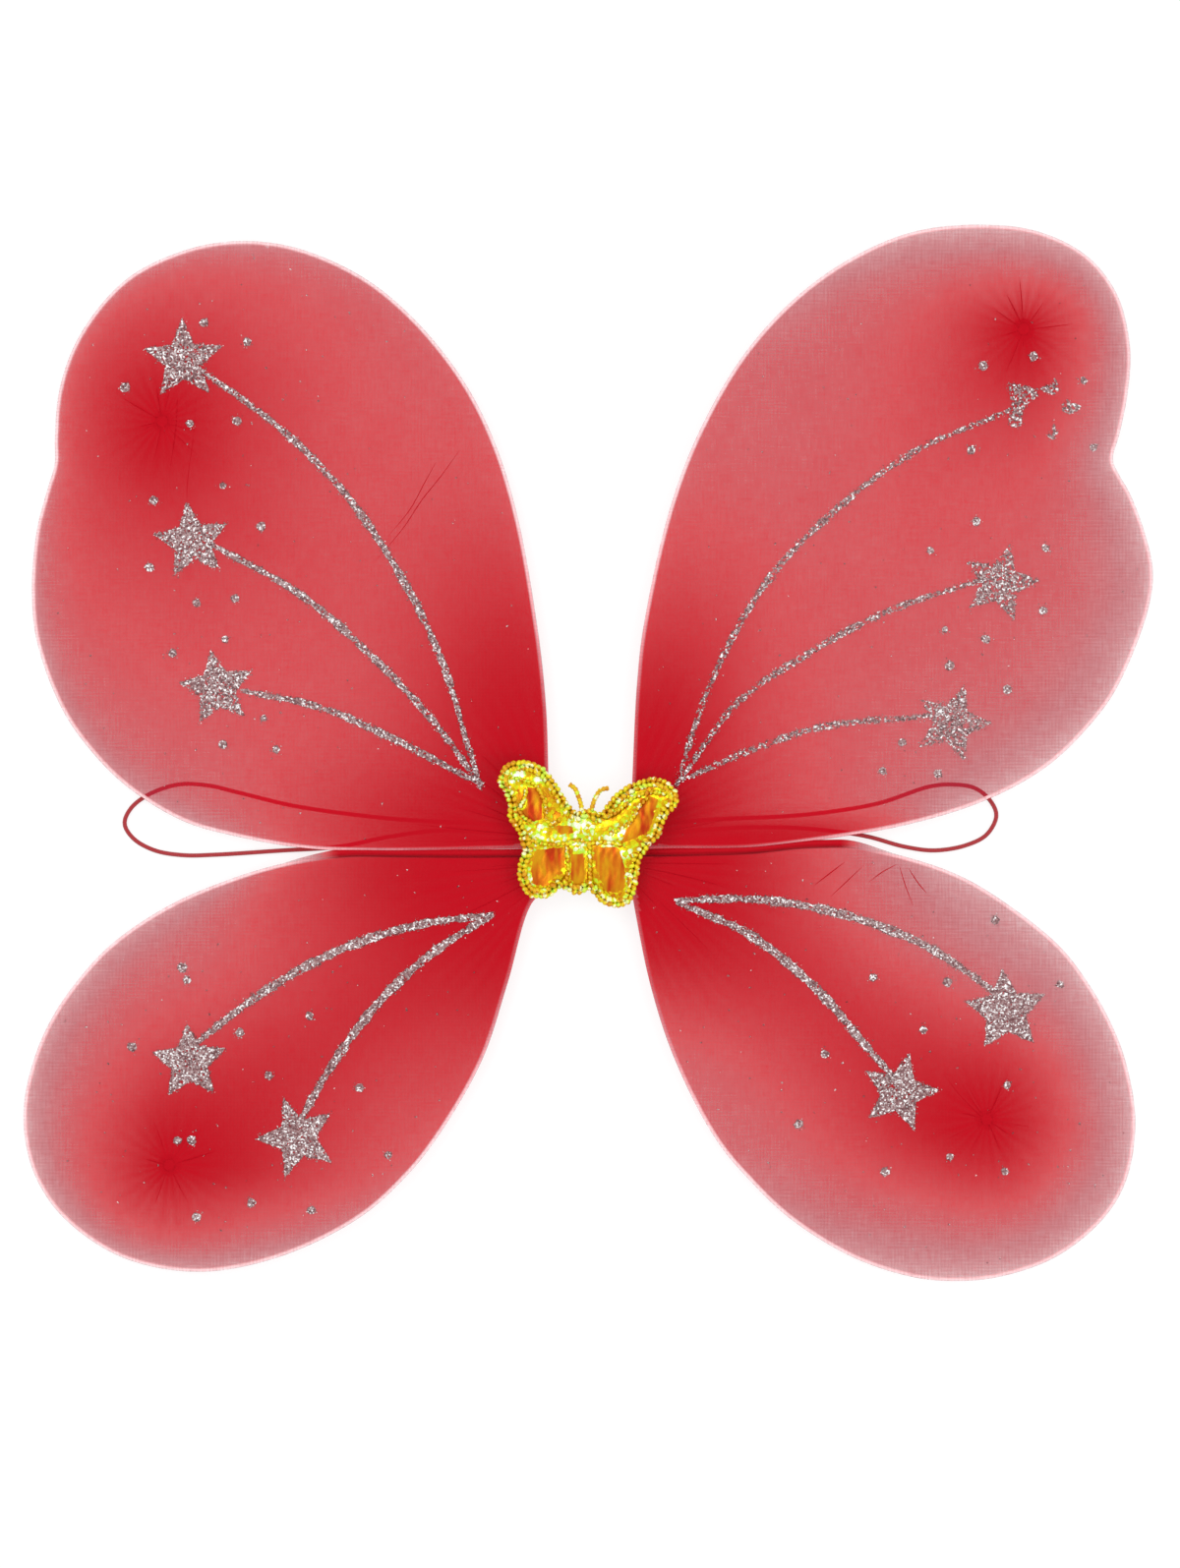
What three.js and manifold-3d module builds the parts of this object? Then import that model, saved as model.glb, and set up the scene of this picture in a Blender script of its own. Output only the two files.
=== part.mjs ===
// Dress-up butterfly wings that lie on their back: four hand-bent wire loops in nylon sleeves, bound
// together at the middle behind a padded foil butterfly, with two round elastic loops for the shoulders.
//
// Millimetres. +Z points away from the wearer's back, +Y towards the head, +X to the right as the front
// is looked at. The origin is the middle of the felt back pad's flat face, which lies on the table.
import * as THREE from "three";
import { TessellateModifier } from "three/addons/modifiers/TessellateModifier.js";
import { mergeVertices } from "three/addons/utils/BufferGeometryUtils.js";
import Module from "manifold-3d";

const wasm = await Module();
wasm.setup();

// ---------------------------------------------------------------- driving dimensions

const GAP = 0.3; // clearance between two pieces that touch or are glued in the real article

const wire = { radius: 0.7, sides: 6, stepsPerPoint: 2 };
const net = { thickness: 0.3, rimBevel: 0.8, hollowBevel: 0.6 };
const hinge = { x: 14, slit: 0.15 }; // the wires flex where they leave the binding
const droop = THREE.MathUtils.degToRad(0.9); // the wings sink a little towards their tips

const pad = { width: 24, height: 21, thickness: 1.2, segments: 40 };
const knot = { radius: 3.7, height: 4, x: 9.3, y: 3.2, around: 12, up: 6 };
const glue = { width: 8.6, top: 9, bottom: -10, corner: 2 };
const tape = { halfLength: 10, wall: 0.8, corner: 1.6 };
const rootTie = { wall: 0.5, length: 2, x: 12 };

// Where the crossing wires run, in Y. Each pair of wings is bent from one wire that crosses twice.
const rodY = { upperTop: 4, upperBottom: -2.5, lowerTop: -6.5, lowerBottom: -12 };
const legBend = [[1.1, 0.2], [2.5, 1.8], [3.4, 5.6]]; // how each pair's outer leg turns into its wing

const tuft = { neckRadius: 2.4, neckLength: 1.8, radius: 4.5, thickness: 1.6, sides: 12 };
const tipTie = { wall: 0.9, height: 1.2 };

const glitter = { thickness: 0.4, startWidth: 2.2, midWidth: 4, endWidth: 2.6, steps: 8 };
const star = { tip: 15, waist: 7, arms: 5 };

const strap = { radius: 0.9, sides: 8, steps: 64, apart: 1.1, floor: 0.1, settle: 0.45 };

const patch = {
  x: -2.9, y: -2, turn: THREE.MathUtils.degToRad(-5), curl: 9, facet: 10,
  width: 74.4, height: 55.5, waistY: 0, backing: 1, padding: 1.5, foil: 0.5, inset: 3.2, padBevel: 0.9,
  steps: 1,
};
const edgeCord = { radius: 0.9, sides: 6, inset: 0.4 };
const antenna = {
  radius: 0.8, sides: 8, steps: 10,
  route: [[2.5, 0, 0], [3.1, 4.4, 0.4], [4.3, 7.7, 0.8], [6.2, 10, 1.1], [8.8, 10.3, 1.2]],
};

// The wings. Each is as wide as `span`, from the middle to the outermost wire, and as tall as `rise`,
// from the middle to the furthest wire. The outline is the wire's centre line: how far it is from the
// hinge towards the outermost wire, and from the leg beside the other wings towards the furthest wire.
const wings = {
  upper_left: {
    side: -1, level: "upper", span: 232, rise: 253,
    outline: [
      [0.024, 0.226], [0.04, 0.354], [0.081, 0.547], [0.129, 0.673], [0.189, 0.768], [0.282, 0.864],
      [0.376, 0.928], [0.5, 0.979], [0.606, 1], [0.707, 0.983], [0.82, 0.929], [0.908, 0.835],
      [0.947, 0.747], [0.956, 0.663], [0.956, 0.626], [0.972, 0.578], [0.991, 0.515], [1, 0.419],
      [0.991, 0.337], [0.945, 0.23], [0.895, 0.166], [0.82, 0.101], [0.713, 0.045], [0.612, 0.02],
      [0.475, 0], [0.351, -0.004], [0.234, -0.003], [0.095, 0],
    ],
    motif: { x: 0.198, y: 0.102 },
    trails: [
      { starX: 0.734, starY: 0.798, bendX: 0.3, bendY: 0.56, turn: 8 },
      { starX: 0.716, starY: 0.5, bendX: 0.43, bendY: 0.37, turn: 4 },
      { starX: 0.668, starY: 0.257, bendX: 0.46, bendY: 0.225, turn: -2 },
    ],
    tuft: { x: 0.769, y: 0.689 },
  },
  upper_right: {
    side: 1, level: "upper", span: 234, rise: 256,
    outline: [
      [0.029, 0.255], [0.041, 0.35], [0.09, 0.539], [0.145, 0.664], [0.231, 0.791], [0.332, 0.885],
      [0.437, 0.948], [0.553, 0.989], [0.681, 1], [0.787, 0.989], [0.879, 0.949], [0.934, 0.887],
      [0.957, 0.802], [0.952, 0.732], [0.937, 0.668], [0.924, 0.624], [0.939, 0.595], [0.956, 0.57],
      [0.984, 0.508], [1, 0.445], [0.991, 0.383], [0.932, 0.258], [0.879, 0.196], [0.8, 0.132],
      [0.688, 0.079], [0.533, 0.038], [0.344, 0.011], [0.234, 0.001], [0.096, 0],
    ],
    motif: { x: 0.159, y: 0.1 },
    trails: [
      { starX: 0.806, starY: 0.709, bendX: 0.36, bendY: 0.585, turn: 20 },
      { starX: 0.731, starY: 0.42, bendX: 0.45, bendY: 0.385, turn: 12 },
      { starX: 0.645, starY: 0.191, bendX: 0.37, bendY: 0.2, turn: 14 },
    ],
    tuft: { x: 0.774, y: 0.834 },
  },
  lower_left: {
    side: -1, level: "lower", span: 235.3, rise: 179,
    outline: [
      [0.027, 0], [0.16, 0.002], [0.298, 0.001], [0.4, 0.001], [0.501, 0.019], [0.603, 0.056],
      [0.727, 0.123], [0.837, 0.218], [0.904, 0.311], [0.952, 0.404], [0.983, 0.499], [1, 0.599],
      [0.998, 0.687], [0.977, 0.779], [0.927, 0.871], [0.819, 0.965], [0.678, 1], [0.526, 0.965],
      [0.375, 0.871], [0.291, 0.777], [0.23, 0.681], [0.145, 0.494], [0.096, 0.305], [0.052, 0.115],
    ],
    motif: { x: 0.178, y: -0.172 },
    trails: [
      { starX: 0.709, starY: -0.518, bendX: 0.46, bendY: -0.2, turn: 4 },
      { starX: 0.521, starY: -0.692, bendX: 0.32, bendY: -0.36, turn: 20 },
    ],
    tuft: { x: 0.756, y: -0.742 },
  },
  lower_right: {
    side: 1, level: "lower", span: 226.7, rise: 182.8,
    outline: [
      [0.051, 0], [0.16, -0.003], [0.254, -0.007], [0.338, -0.018], [0.395, -0.021], [0.454, -0.02],
      [0.501, -0.008], [0.565, 0.011], [0.648, 0.046], [0.722, 0.095], [0.848, 0.212], [0.908, 0.304],
      [0.952, 0.397], [0.981, 0.488], [1, 0.627], [0.983, 0.763], [0.939, 0.854], [0.845, 0.945],
      [0.734, 0.991], [0.651, 1], [0.569, 0.991], [0.451, 0.944], [0.329, 0.853], [0.248, 0.76],
      [0.185, 0.668], [0.106, 0.484], [0.056, 0.299],
    ],
    motif: { x: 0.159, y: -0.137 },
    trails: [
      { starX: 0.772, starY: -0.388, bendX: 0.5, bendY: -0.115, turn: 3 },
      { starX: 0.568, starY: -0.576, bendX: 0.41, bendY: -0.28, turn: 14 },
    ],
    tuft: { x: 0.731, y: -0.637 },
  },
};

// The butterfly's right half, from the head round to the tail, in shares of its width and height.
const patchHalf = [
  [0, 0.3], [0.062, 0.29], [0.128, 0.393], [0.242, 0.568], [0.336, 0.604], [0.437, 0.577],
  [0.497, 0.495], [0.495, 0.423], [0.446, 0.333], [0.427, 0.252], [0.417, 0.171], [0.376, 0.086],
  [0.349, 0], [0.333, -0.162], [0.336, -0.243], [0.3, -0.335], [0.242, -0.38], [0.181, -0.392],
  [0.128, -0.36], [0.077, -0.306], [0.03, -0.335], [0, -0.335],
];

// The shoulder elastics lie on the table: from the knot outwards behind the upper wing, round, and back.
const strapRoutes = {
  left: [
    [-23, 5.6], [-41, 6.8], [-82, 9], [-123, 14.3], [-147, 20], [-160, 23], [-172, 23.4], [-184, 19.5],
    [-192, 13.5], [-194.7, 7], [-191, 0.8], [-182, -4.2], [-170, -6.2], [-157, -6], [-130, -4.3],
    [-105, -2.6], [-84, 1.5], [-64, 4], [-41, 3.2], [-23, 2],
  ],
  right: [
    [23, 5.8], [45, 8.3], [83, 10.2], [100, 11.9], [121, 15.6], [142, 22.5], [151, 23.4], [160.7, 22],
    [167, 17.2], [170, 10.5], [166, 2.5], [157.4, -2], [144, -4.2], [131.4, -2.6], [117, 1.4],
    [104, 3.6], [86, 5.2], [66, 5.4], [45, 4.2], [23, 2],
  ],
};

// ---------------------------------------------------------------- levels, worked out from the stack

const knotBottom = pad.thickness + GAP;
const tapeBottom = knotBottom + knot.height + GAP;
const wireZ = tapeBottom + tape.wall + GAP + wire.radius;
const tapeTop = wireZ + wire.radius + GAP + tape.wall;
const patchZ = tapeTop + GAP;
const legY = {
  upper: { first: rodY.upperTop, last: rodY.upperBottom },
  lower: { first: rodY.lowerTop, last: rodY.lowerBottom },
};
const sleeveHalf = wire.radius + GAP + net.thickness; // from the wire's centre to the sleeve's outside
const hollowHalf = wire.radius + GAP;

// ---------------------------------------------------------------- materials

const paint = (color, roughness, metalness = 0) =>
  new THREE.MeshStandardMaterial({ color, roughness, metalness });
const materials = {
  wire: paint(0xe0dad6, 0.4),
  net: paint(0xc9242f, 0.7),
  thread: paint(0xa80f1c, 0.6),
  glitter: paint(0xb8a4a4, 0.3, 0.6),
  elastic: paint(0xb8151f, 0.7),
  felt: paint(0xc01622, 0.95),
  glue: paint(0xe8e2cf, 0.4),
  tape: paint(0xb5101c, 0.8),
  foam: paint(0xf2ead8, 0.9),
  foil: paint(0xd79a12, 0.2, 0.8),
  cord: paint(0xd8c21a, 0.3, 0.8),
};

// ---------------------------------------------------------------- solids

// A hand-bent line through its points, stepped evenly from point to point, so that tight bends stay fine.
class BentLine extends THREE.CatmullRomCurve3 {
  getUtoTmapping(u) {
    return u;
  }
}

function solidOf(geometry) {
  const bare = geometry.index ? geometry.toNonIndexed() : geometry.clone();
  bare.deleteAttribute("normal");
  bare.deleteAttribute("uv");
  const merged = mergeVertices(bare, 1e-4);
  return new wasm.Manifold(
    new wasm.Mesh({
      numProp: 3,
      vertProperties: merged.attributes.position.array,
      triVerts: new Uint32Array(merged.index.array),
    }),
  );
}

function geometryOf(solid) {
  const { vertProperties, triVerts, numProp, numVert } = solid.getMesh();
  const positions = new Float32Array(numVert * 3);
  for (let i = 0; i < numVert; i++) {
    positions.set(vertProperties.subarray(i * numProp, i * numProp + 3), i * 3);
  }
  return new THREE.BufferGeometry()
    .setAttribute("position", new THREE.BufferAttribute(positions, 3))
    .setIndex(new THREE.BufferAttribute(triVerts, 1));
}

function box(low, high) {
  const geometry = new THREE.BoxGeometry(high[0] - low[0], high[1] - low[1], high[2] - low[2]);
  geometry.translate((low[0] + high[0]) / 2, (low[1] + high[1]) / 2, (low[2] + high[2]) / 2);
  return geometry;
}

// The corners of a closed outline, without the points that only lie along a straight side.
function cornersOf(points) {
  return points.filter((point, i) => {
    const into = point.clone().sub(points.at(i - 1));
    const out = points[(i + 1) % points.length].clone().sub(point);
    return Math.abs(into.cross(out)) > 1e-6 * into.length() * out.length();
  });
}

// A flat outline raised from z = bottom to z = top, with its rims bevelled by up to `bevel`.
function plate(points, bottom, top, bevel = 0) {
  const shape = new THREE.Shape(cornersOf(points));
  const geometry = new THREE.ExtrudeGeometry(shape, {
    depth: top - bottom - 2 * bevel,
    bevelEnabled: bevel > 0,
    bevelSize: bevel,
    bevelThickness: bevel,
    bevelOffset: -bevel,
    bevelSegments: 1,
    curveSegments: 1,
  });
  return geometry.translate(0, 0, bottom + bevel);
}

function ring(radius, sides) {
  const points = [];
  for (let i = 0; i < sides; i++) {
    const angle = (2 * Math.PI * i) / sides;
    points.push(new THREE.Vector2(radius * Math.cos(angle), radius * Math.sin(angle)));
  }
  return points;
}

function tube(curve, radius, sides, steps) {
  const section = new THREE.Shape(ring(radius, sides));
  return new THREE.ExtrudeGeometry(section, { steps, extrudePath: curve, bevelEnabled: false });
}

// The outline moved outwards by `distance`, mitred at each point.
function offset(points, distance, outwards) {
  return points.map((point, i) => {
    const before = points[Math.max(i - 1, 0)];
    const after = points[Math.min(i + 1, points.length - 1)];
    const into = point.clone().sub(i ? before : point).normalize();
    const out = after.clone().sub(point).normalize();
    const along = into.add(i < points.length - 1 ? out : into).normalize();
    const normal = new THREE.Vector2(along.y, -along.x).multiplyScalar(outwards);
    const edge = (i ? point.clone().sub(before) : after.clone().sub(point)).normalize();
    const square = new THREE.Vector2(edge.y, -edge.x).multiplyScalar(outwards);
    return point.clone().addScaledVector(normal, distance / Math.max(normal.dot(square), 0.5));
  });
}

// A stadium: two half circles `reach` from the points (x, y1) and (x, y2), for shapes drawn in Y and Z.
function stadium(y1, y2, z, reach, corners = 6) {
  const points = [];
  for (let i = 0; i <= corners; i++) {
    const angle = (Math.PI * i) / corners;
    points.push(new THREE.Vector2(Math.max(y1, y2) + reach * Math.sin(angle), z + reach * Math.cos(angle)));
  }
  for (let i = 0; i <= corners; i++) {
    const angle = Math.PI + (Math.PI * i) / corners;
    points.push(new THREE.Vector2(Math.min(y1, y2) + reach * Math.sin(angle), z + reach * Math.cos(angle)));
  }
  return points.reverse();
}

function roundedRectangle(low, high, corner, cornerSteps = 3) {
  const points = [];
  const centres = [
    [high[0] - corner, high[1] - corner, 0],
    [low[0] + corner, high[1] - corner, 1],
    [low[0] + corner, low[1] + corner, 2],
    [high[0] - corner, low[1] + corner, 3],
  ];
  for (const [x, y, quarter] of centres) {
    for (let i = 0; i <= cornerSteps; i++) {
      const angle = (Math.PI / 2) * (quarter + i / cornerSteps);
      points.push(new THREE.Vector2(x + corner * Math.cos(angle), y + corner * Math.sin(angle)));
    }
  }
  return points;
}

// A band round the X axis between two closed outlines drawn in Y and Z.
function band(outer, inner, x, halfLength) {
  const shape = new THREE.Shape(outer);
  shape.holes.push(new THREE.Path(inner));
  const geometry = new THREE.ExtrudeGeometry(shape, {
    depth: 2 * halfLength, bevelEnabled: false, curveSegments: 1,
  });
  geometry.translate(0, 0, x - halfLength);
  // Drawn in X and Y and raised along Z, then turned so that they read as Y and Z, raised along X.
  return geometry.applyMatrix4(new THREE.Matrix4().set(0, 0, 1, 0, 1, 0, 0, 0, 0, 1, 0, 0, 0, 0, 0, 1));
}

// ---------------------------------------------------------------- meshes

function named(name, geometry, material) {
  const mesh = new THREE.Mesh(geometry, material);
  mesh.name = name;
  return mesh;
}

// The wire's centre line, from the hinge round the loop and back, in the wing's own plane.
function wingLine(wing) {
  const start = hinge.x + hinge.slit;
  const { first, last } = legY[wing.level];
  const upper = wing.level === "upper";
  const up = upper ? 1 : -1;
  const shared = upper ? last : first; // the leg beside the other wings
  const free = wing.outline.map(([out, away]) => [
    hinge.x + out * (wing.span - hinge.x), shared + up * away * (wing.rise - up * shared),
  ]);
  const bend = legBend.map(([x, y]) => [start + x, (upper ? first : last) + up * y]);
  const whole = upper
    ? [[start, first], ...bend, ...free, [start, last]]
    : [[start, first], ...free, ...bend.reverse(), [start, last]];
  const points = whole.map(([x, y]) => new THREE.Vector3(wing.side * (x - hinge.x), y, 0));
  return new BentLine(points, false, "centripetal");
}

// The nylon sleeve: a flat bag drawn over the loop, open at the root, its far end gathered into a tuft.
function sleeve(wing, line, steps) {
  const middle = line.getSpacedPoints(steps).map((p) => new THREE.Vector2(p.x, p.y));
  const clockwise = THREE.ShapeUtils.area(middle) < 0 ? -1 : 1;
  const bag = (reach, past, bevel) => {
    const rim = offset(middle, reach, clockwise);
    const inwards = -wing.side * past;
    const mouth = [rim.at(-1).clone().setX(inwards), rim[0].clone().setX(inwards)];
    return plate([...rim, ...mouth], -reach, reach, bevel);
  };
  const past = 2;
  const outside = solidOf(bag(sleeveHalf, past, net.rimBevel));
  const hollow = solidOf(bag(hollowHalf, 2 * past, net.hollowBevel));
  const reachY = 2 * wing.rise;
  const edge = wing.side * hinge.slit;
  const far = -wing.side * 4 * past;
  const cut = solidOf(
    box([Math.min(edge, far), -reachY, -2 * sleeveHalf], [Math.max(edge, far), reachY, 2 * sleeveHalf]),
  );
  const [tuftX, tuftY] = onWing(wing, wing.tuft.x, wing.tuft.y);
  const neckTop = -hollowHalf - net.thickness / 2;
  const neckBottom = -sleeveHalf - tuft.neckLength;
  const neck = plate(ring(tuft.neckRadius, tuft.sides), neckBottom, neckTop).translate(tuftX, tuftY, 0);
  const flare = plate(ring(tuft.radius, tuft.sides), neckBottom - tuft.thickness, neckBottom, 0.4)
    .translate(tuftX, tuftY, 0);
  return geometryOf(outside.subtract(hollow).subtract(cut).add(solidOf(neck)).add(solidOf(flare)));
}

function onWing(wing, x, y) {
  return [wing.side * (x * wing.span - hinge.x), y * wing.rise];
}

function tipTieGeometry(wing) {
  const [x, y] = onWing(wing, wing.tuft.x, wing.tuft.y);
  const shape = new THREE.Shape(ring(tuft.neckRadius + GAP + tipTie.wall, tuft.sides));
  shape.holes.push(new THREE.Path(ring(tuft.neckRadius + GAP, tuft.sides)));
  const top = -sleeveHalf - (tuft.neckLength - tipTie.height) / 2;
  return new THREE.ExtrudeGeometry(shape, { depth: tipTie.height, bevelEnabled: false })
    .translate(x, y, top - tipTie.height);
}

// One five-armed star, raised off the sleeve.
function starPlate(x, y, turn, bottom) {
  const points = [];
  for (let i = 0; i < 2 * star.arms; i++) {
    const angle = Math.PI / 2 + (Math.PI * i) / star.arms + THREE.MathUtils.degToRad(turn);
    const reach = i % 2 ? star.waist : star.tip;
    points.push(new THREE.Vector2(x + reach * Math.cos(angle), y + reach * Math.sin(angle)));
  }
  return plate(points, bottom, bottom + glitter.thickness);
}

// A trail that swells in the middle, from the motif's root to its star.
function trailPlate(from, bend, to, bottom) {
  const curve = new THREE.QuadraticBezierCurve(
    new THREE.Vector2(...from), new THREE.Vector2(...bend), new THREE.Vector2(...to),
  );
  const left = [];
  const right = [];
  for (let i = 0; i <= glitter.steps; i++) {
    const share = i / glitter.steps;
    const swell = Math.sin(Math.PI * share);
    const plain = THREE.MathUtils.lerp(glitter.startWidth, glitter.endWidth, share);
    const width = plain + (glitter.midWidth - plain) * swell;
    const point = curve.getPoint(share);
    const tangent = curve.getTangent(share);
    const across = new THREE.Vector2(-tangent.y, tangent.x).multiplyScalar(width / 2);
    left.push(point.clone().add(across));
    right.unshift(point.clone().sub(across));
  }
  return plate([...left, ...right], bottom, bottom + glitter.thickness);
}

// The printed glitter of one wing: two or three trails from one root, each ending in a star.
function motifGeometry(wing) {
  const bottom = sleeveHalf + GAP;
  const from = onWing(wing, wing.motif.x, wing.motif.y);
  let whole = null;
  for (const trail of wing.trails) {
    const to = onWing(wing, trail.starX, trail.starY);
    const bend = onWing(wing, trail.bendX, trail.bendY);
    const parts = [trailPlate(from, bend, to, bottom), starPlate(...to, trail.turn * wing.side, bottom)];
    for (const part of parts) whole = whole ? whole.add(solidOf(part)) : solidOf(part);
  }
  return geometryOf(whole);
}

function wingGroup(name, wing) {
  const group = new THREE.Group();
  group.position.set(wing.side * hinge.x, 0, wireZ);
  group.rotation.y = wing.side * droop;
  const line = wingLine(wing);
  const steps = (line.points.length - 1) * wire.stepsPerPoint;
  group.add(
    named(`${name}_wire`, tube(line, wire.radius, wire.sides, steps), materials.wire),
    named(`${name}_net`, sleeve(wing, line, steps), materials.net),
    named(`${name}_glitter`, motifGeometry(wing), materials.glitter),
    named(`${name}_tip_tie`, tipTieGeometry(wing), materials.thread),
  );
  return group;
}

// The wires' straight stretches across the middle, and the thread that gathers each sleeve onto them.
function crossingGroup() {
  const group = new THREE.Group();
  const length = 2 * (hinge.x - hinge.slit);
  const rods = [
    ["upper_wire_crossing_top", rodY.upperTop],
    ["upper_wire_crossing_bottom", rodY.upperBottom],
    ["lower_wire_crossing_top", rodY.lowerTop],
    ["lower_wire_crossing_bottom", rodY.lowerBottom],
  ];
  for (const [name, y] of rods) {
    const rod = new THREE.CylinderGeometry(wire.radius, wire.radius, length, wire.sides).rotateZ(Math.PI / 2);
    const mesh = named(name, rod, materials.wire);
    mesh.position.set(0, y, wireZ);
    group.add(mesh);
  }
  for (const [name, wing] of Object.entries(wings)) {
    const { first, last } = legY[wing.level];
    const inner = wire.radius + GAP;
    const outline = (reach) => stadium(first, last, wireZ, reach);
    const tie = band(
      outline(inner + rootTie.wall), outline(inner), wing.side * rootTie.x, rootTie.length / 2,
    );
    group.add(named(`${name}_root_tie`, tie, materials.thread));
  }
  return group;
}

// What holds the middle together: tape round the wires, hot glue and the felt pad behind them.
function middleGroup() {
  const group = new THREE.Group();
  const low = [rodY.lowerBottom - wire.radius - GAP, wireZ - wire.radius - GAP];
  const high = [rodY.upperTop + wire.radius + GAP, wireZ + wire.radius + GAP];
  const outer = roundedRectangle(
    low.map((v) => v - tape.wall), high.map((v) => v + tape.wall), tape.corner,
  );
  const inner = roundedRectangle(low, high, Math.max(tape.corner - tape.wall, 0.2));
  group.add(named("binding_tape", band(outer, inner, 0, tape.halfLength), materials.tape));

  const bed = roundedRectangle([-glue.width / 2, glue.bottom], [glue.width / 2, glue.top], glue.corner);
  group.add(named("glue_bed", plate(bed, knotBottom, tapeBottom - GAP, 0.6), materials.glue));

  const oval = new THREE.EllipseCurve(0, 0, pad.width / 2, pad.height / 2).getPoints(pad.segments).slice(1);
  group.add(named("back_pad", plate(oval, 0, pad.thickness), materials.felt));

  for (const [name, side] of [["left_strap_knot", -1], ["right_strap_knot", 1]]) {
    const lump = new THREE.SphereGeometry(knot.radius, knot.around, knot.up).rotateX(Math.PI / 2);
    lump.scale(1, 1, knot.height / 2 / knot.radius);
    const mesh = named(name, lump, materials.elastic);
    mesh.position.set(side * knot.x, knot.y, knotBottom + knot.height / 2);
    group.add(mesh);
  }
  return group;
}

function strapMesh(name, side, route) {
  const low = strap.floor + strap.radius;
  const high = knotBottom + knot.height / 2;
  const start = knot.x + knot.radius + GAP;
  const leg = (away, drop, across) =>
    new THREE.Vector3(side * (start + away), knot.y + across, high - drop);
  const landing = (i) => (i === 0 || i === route.length - 1 ? strap.settle : 0);
  const points = [
    leg(0, 0, strap.apart),
    leg(3, 0.5, strap.apart + 0.1),
    ...route.map(([x, y], i) => new THREE.Vector3(x, y, low + landing(i))),
    leg(3, 0.5, -strap.apart - 0.1),
    leg(0, 0, -strap.apart),
  ];
  const line = new THREE.CatmullRomCurve3(points, false, "centripetal");
  return named(name, tube(line, strap.radius, strap.sides, strap.steps), materials.elastic);
}

// ---------------------------------------------------------------- the butterfly on the front

function patchOutline(inset = 0) {
  const half = patchHalf.map(([x, y]) => [x * patch.width, y * patch.height]);
  const other = half.slice(1, -1).reverse().map(([x, y]) => [-x, y]);
  const points = [...half, ...other].map(([x, y]) => new THREE.Vector3(x, y, 0));
  const line = new THREE.CatmullRomCurve3(points, true, "centripetal");
  const count = points.length * patch.steps;
  const flat = line.getPoints(count).slice(0, -1).map((p) => new THREE.Vector2(p.x, p.y));
  if (!inset) return flat;
  const wrapped = [flat.at(-1), ...flat, flat[0]];
  const outwards = THREE.ShapeUtils.area(flat) < 0 ? -1 : 1;
  return offset(wrapped, -inset, outwards).slice(1, -1);
}

// The flat butterfly curled up towards its two sides, so that the wings can flex beneath it.
function curled(solid) {
  const flat = geometryOf(solid).toNonIndexed();
  const fine = new TessellateModifier(patch.facet, 8).modify(flat);
  const positions = fine.attributes.position;
  for (let i = 0; i < positions.count; i++) {
    const share = positions.getX(i) / (patch.width / 2);
    positions.setZ(i, positions.getZ(i) + patch.curl * share ** 2);
  }
  fine.deleteAttribute("normal");
  fine.deleteAttribute("uv");
  return mergeVertices(fine, 1e-4);
}

function patchGroup() {
  const group = new THREE.Group();
  group.position.set(patch.x, patch.y, patchZ);
  group.rotation.z = patch.turn;

  const face = patch.backing + GAP;
  const padTop = face + patch.padding;
  const backing = solidOf(plate(patchOutline(), 0, patch.backing));
  const padding = solidOf(plate(patchOutline(patch.inset), face, padTop, patch.padBevel));
  const room = solidOf(plate(patchOutline(patch.inset - GAP), face - 1, padTop + GAP, patch.padBevel));
  const cordInset = edgeCord.inset + edgeCord.radius;
  const skinInset = cordInset + edgeCord.radius + GAP;
  const skin = solidOf(
    plate(patchOutline(skinInset), face, padTop + GAP + patch.foil, patch.padBevel),
  );
  group.add(
    named("patch_backing", curled(backing), materials.felt),
    named("patch_padding", curled(padding), materials.foam),
    named("patch_foil", curled(skin.subtract(room)), materials.foil),
  );

  const rim = patchOutline(cordInset).map((p) => new THREE.Vector3(p.x, p.y, face + edgeCord.radius));
  const rimLine = new BentLine(rim, true, "centripetal");
  const rimTube = closedTube(rimLine, edgeCord.radius, edgeCord.sides, rim.length);
  group.add(named("patch_edge_cord", curled(rimTube), materials.cord));

  for (const [name, side] of [["left_antenna", -1], ["right_antenna", 1]]) {
    const z = face + antenna.radius;
    const headTop = patchHalf[0][1] * patch.height - edgeCord.inset + GAP;
    const route = antenna.route.map(([x, y, rise]) => new THREE.Vector3(side * x, headTop + y, z + rise));
    const feeler = new THREE.CatmullRomCurve3(route);
    group.add(named(name, tube(feeler, antenna.radius, antenna.sides, antenna.steps), materials.cord));
  }
  return group;
}

// A tube along a closed line, made as two halves that overlap a little and are joined.
function closedTube(line, radius, sides, steps) {
  const points = line.getSpacedPoints(steps).slice(0, -1);
  const half = Math.floor(steps / 2);
  const stretch = (from, to) => {
    const run = [];
    for (let i = from; i <= to; i++) run.push(points[(i + steps) % steps]);
    return solidOf(tube(new BentLine(run, false, "centripetal"), radius, sides, run.length - 1));
  };
  return stretch(0, half).add(stretch(half - 1, steps + 1));
}

// ---------------------------------------------------------------- assembly

const butterflyWings = new THREE.Group();
for (const [name, wing] of Object.entries(wings)) butterflyWings.add(wingGroup(name, wing));
butterflyWings.add(crossingGroup(), middleGroup(), patchGroup());
butterflyWings.add(strapMesh("left_strap", -1, strapRoutes.left));
butterflyWings.add(strapMesh("right_strap", 1, strapRoutes.right));

export default butterflyWings;
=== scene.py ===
"""Dress-up butterfly wings: sheer net sleeves on bent wire, glitter stars and a foil butterfly."""

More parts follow.
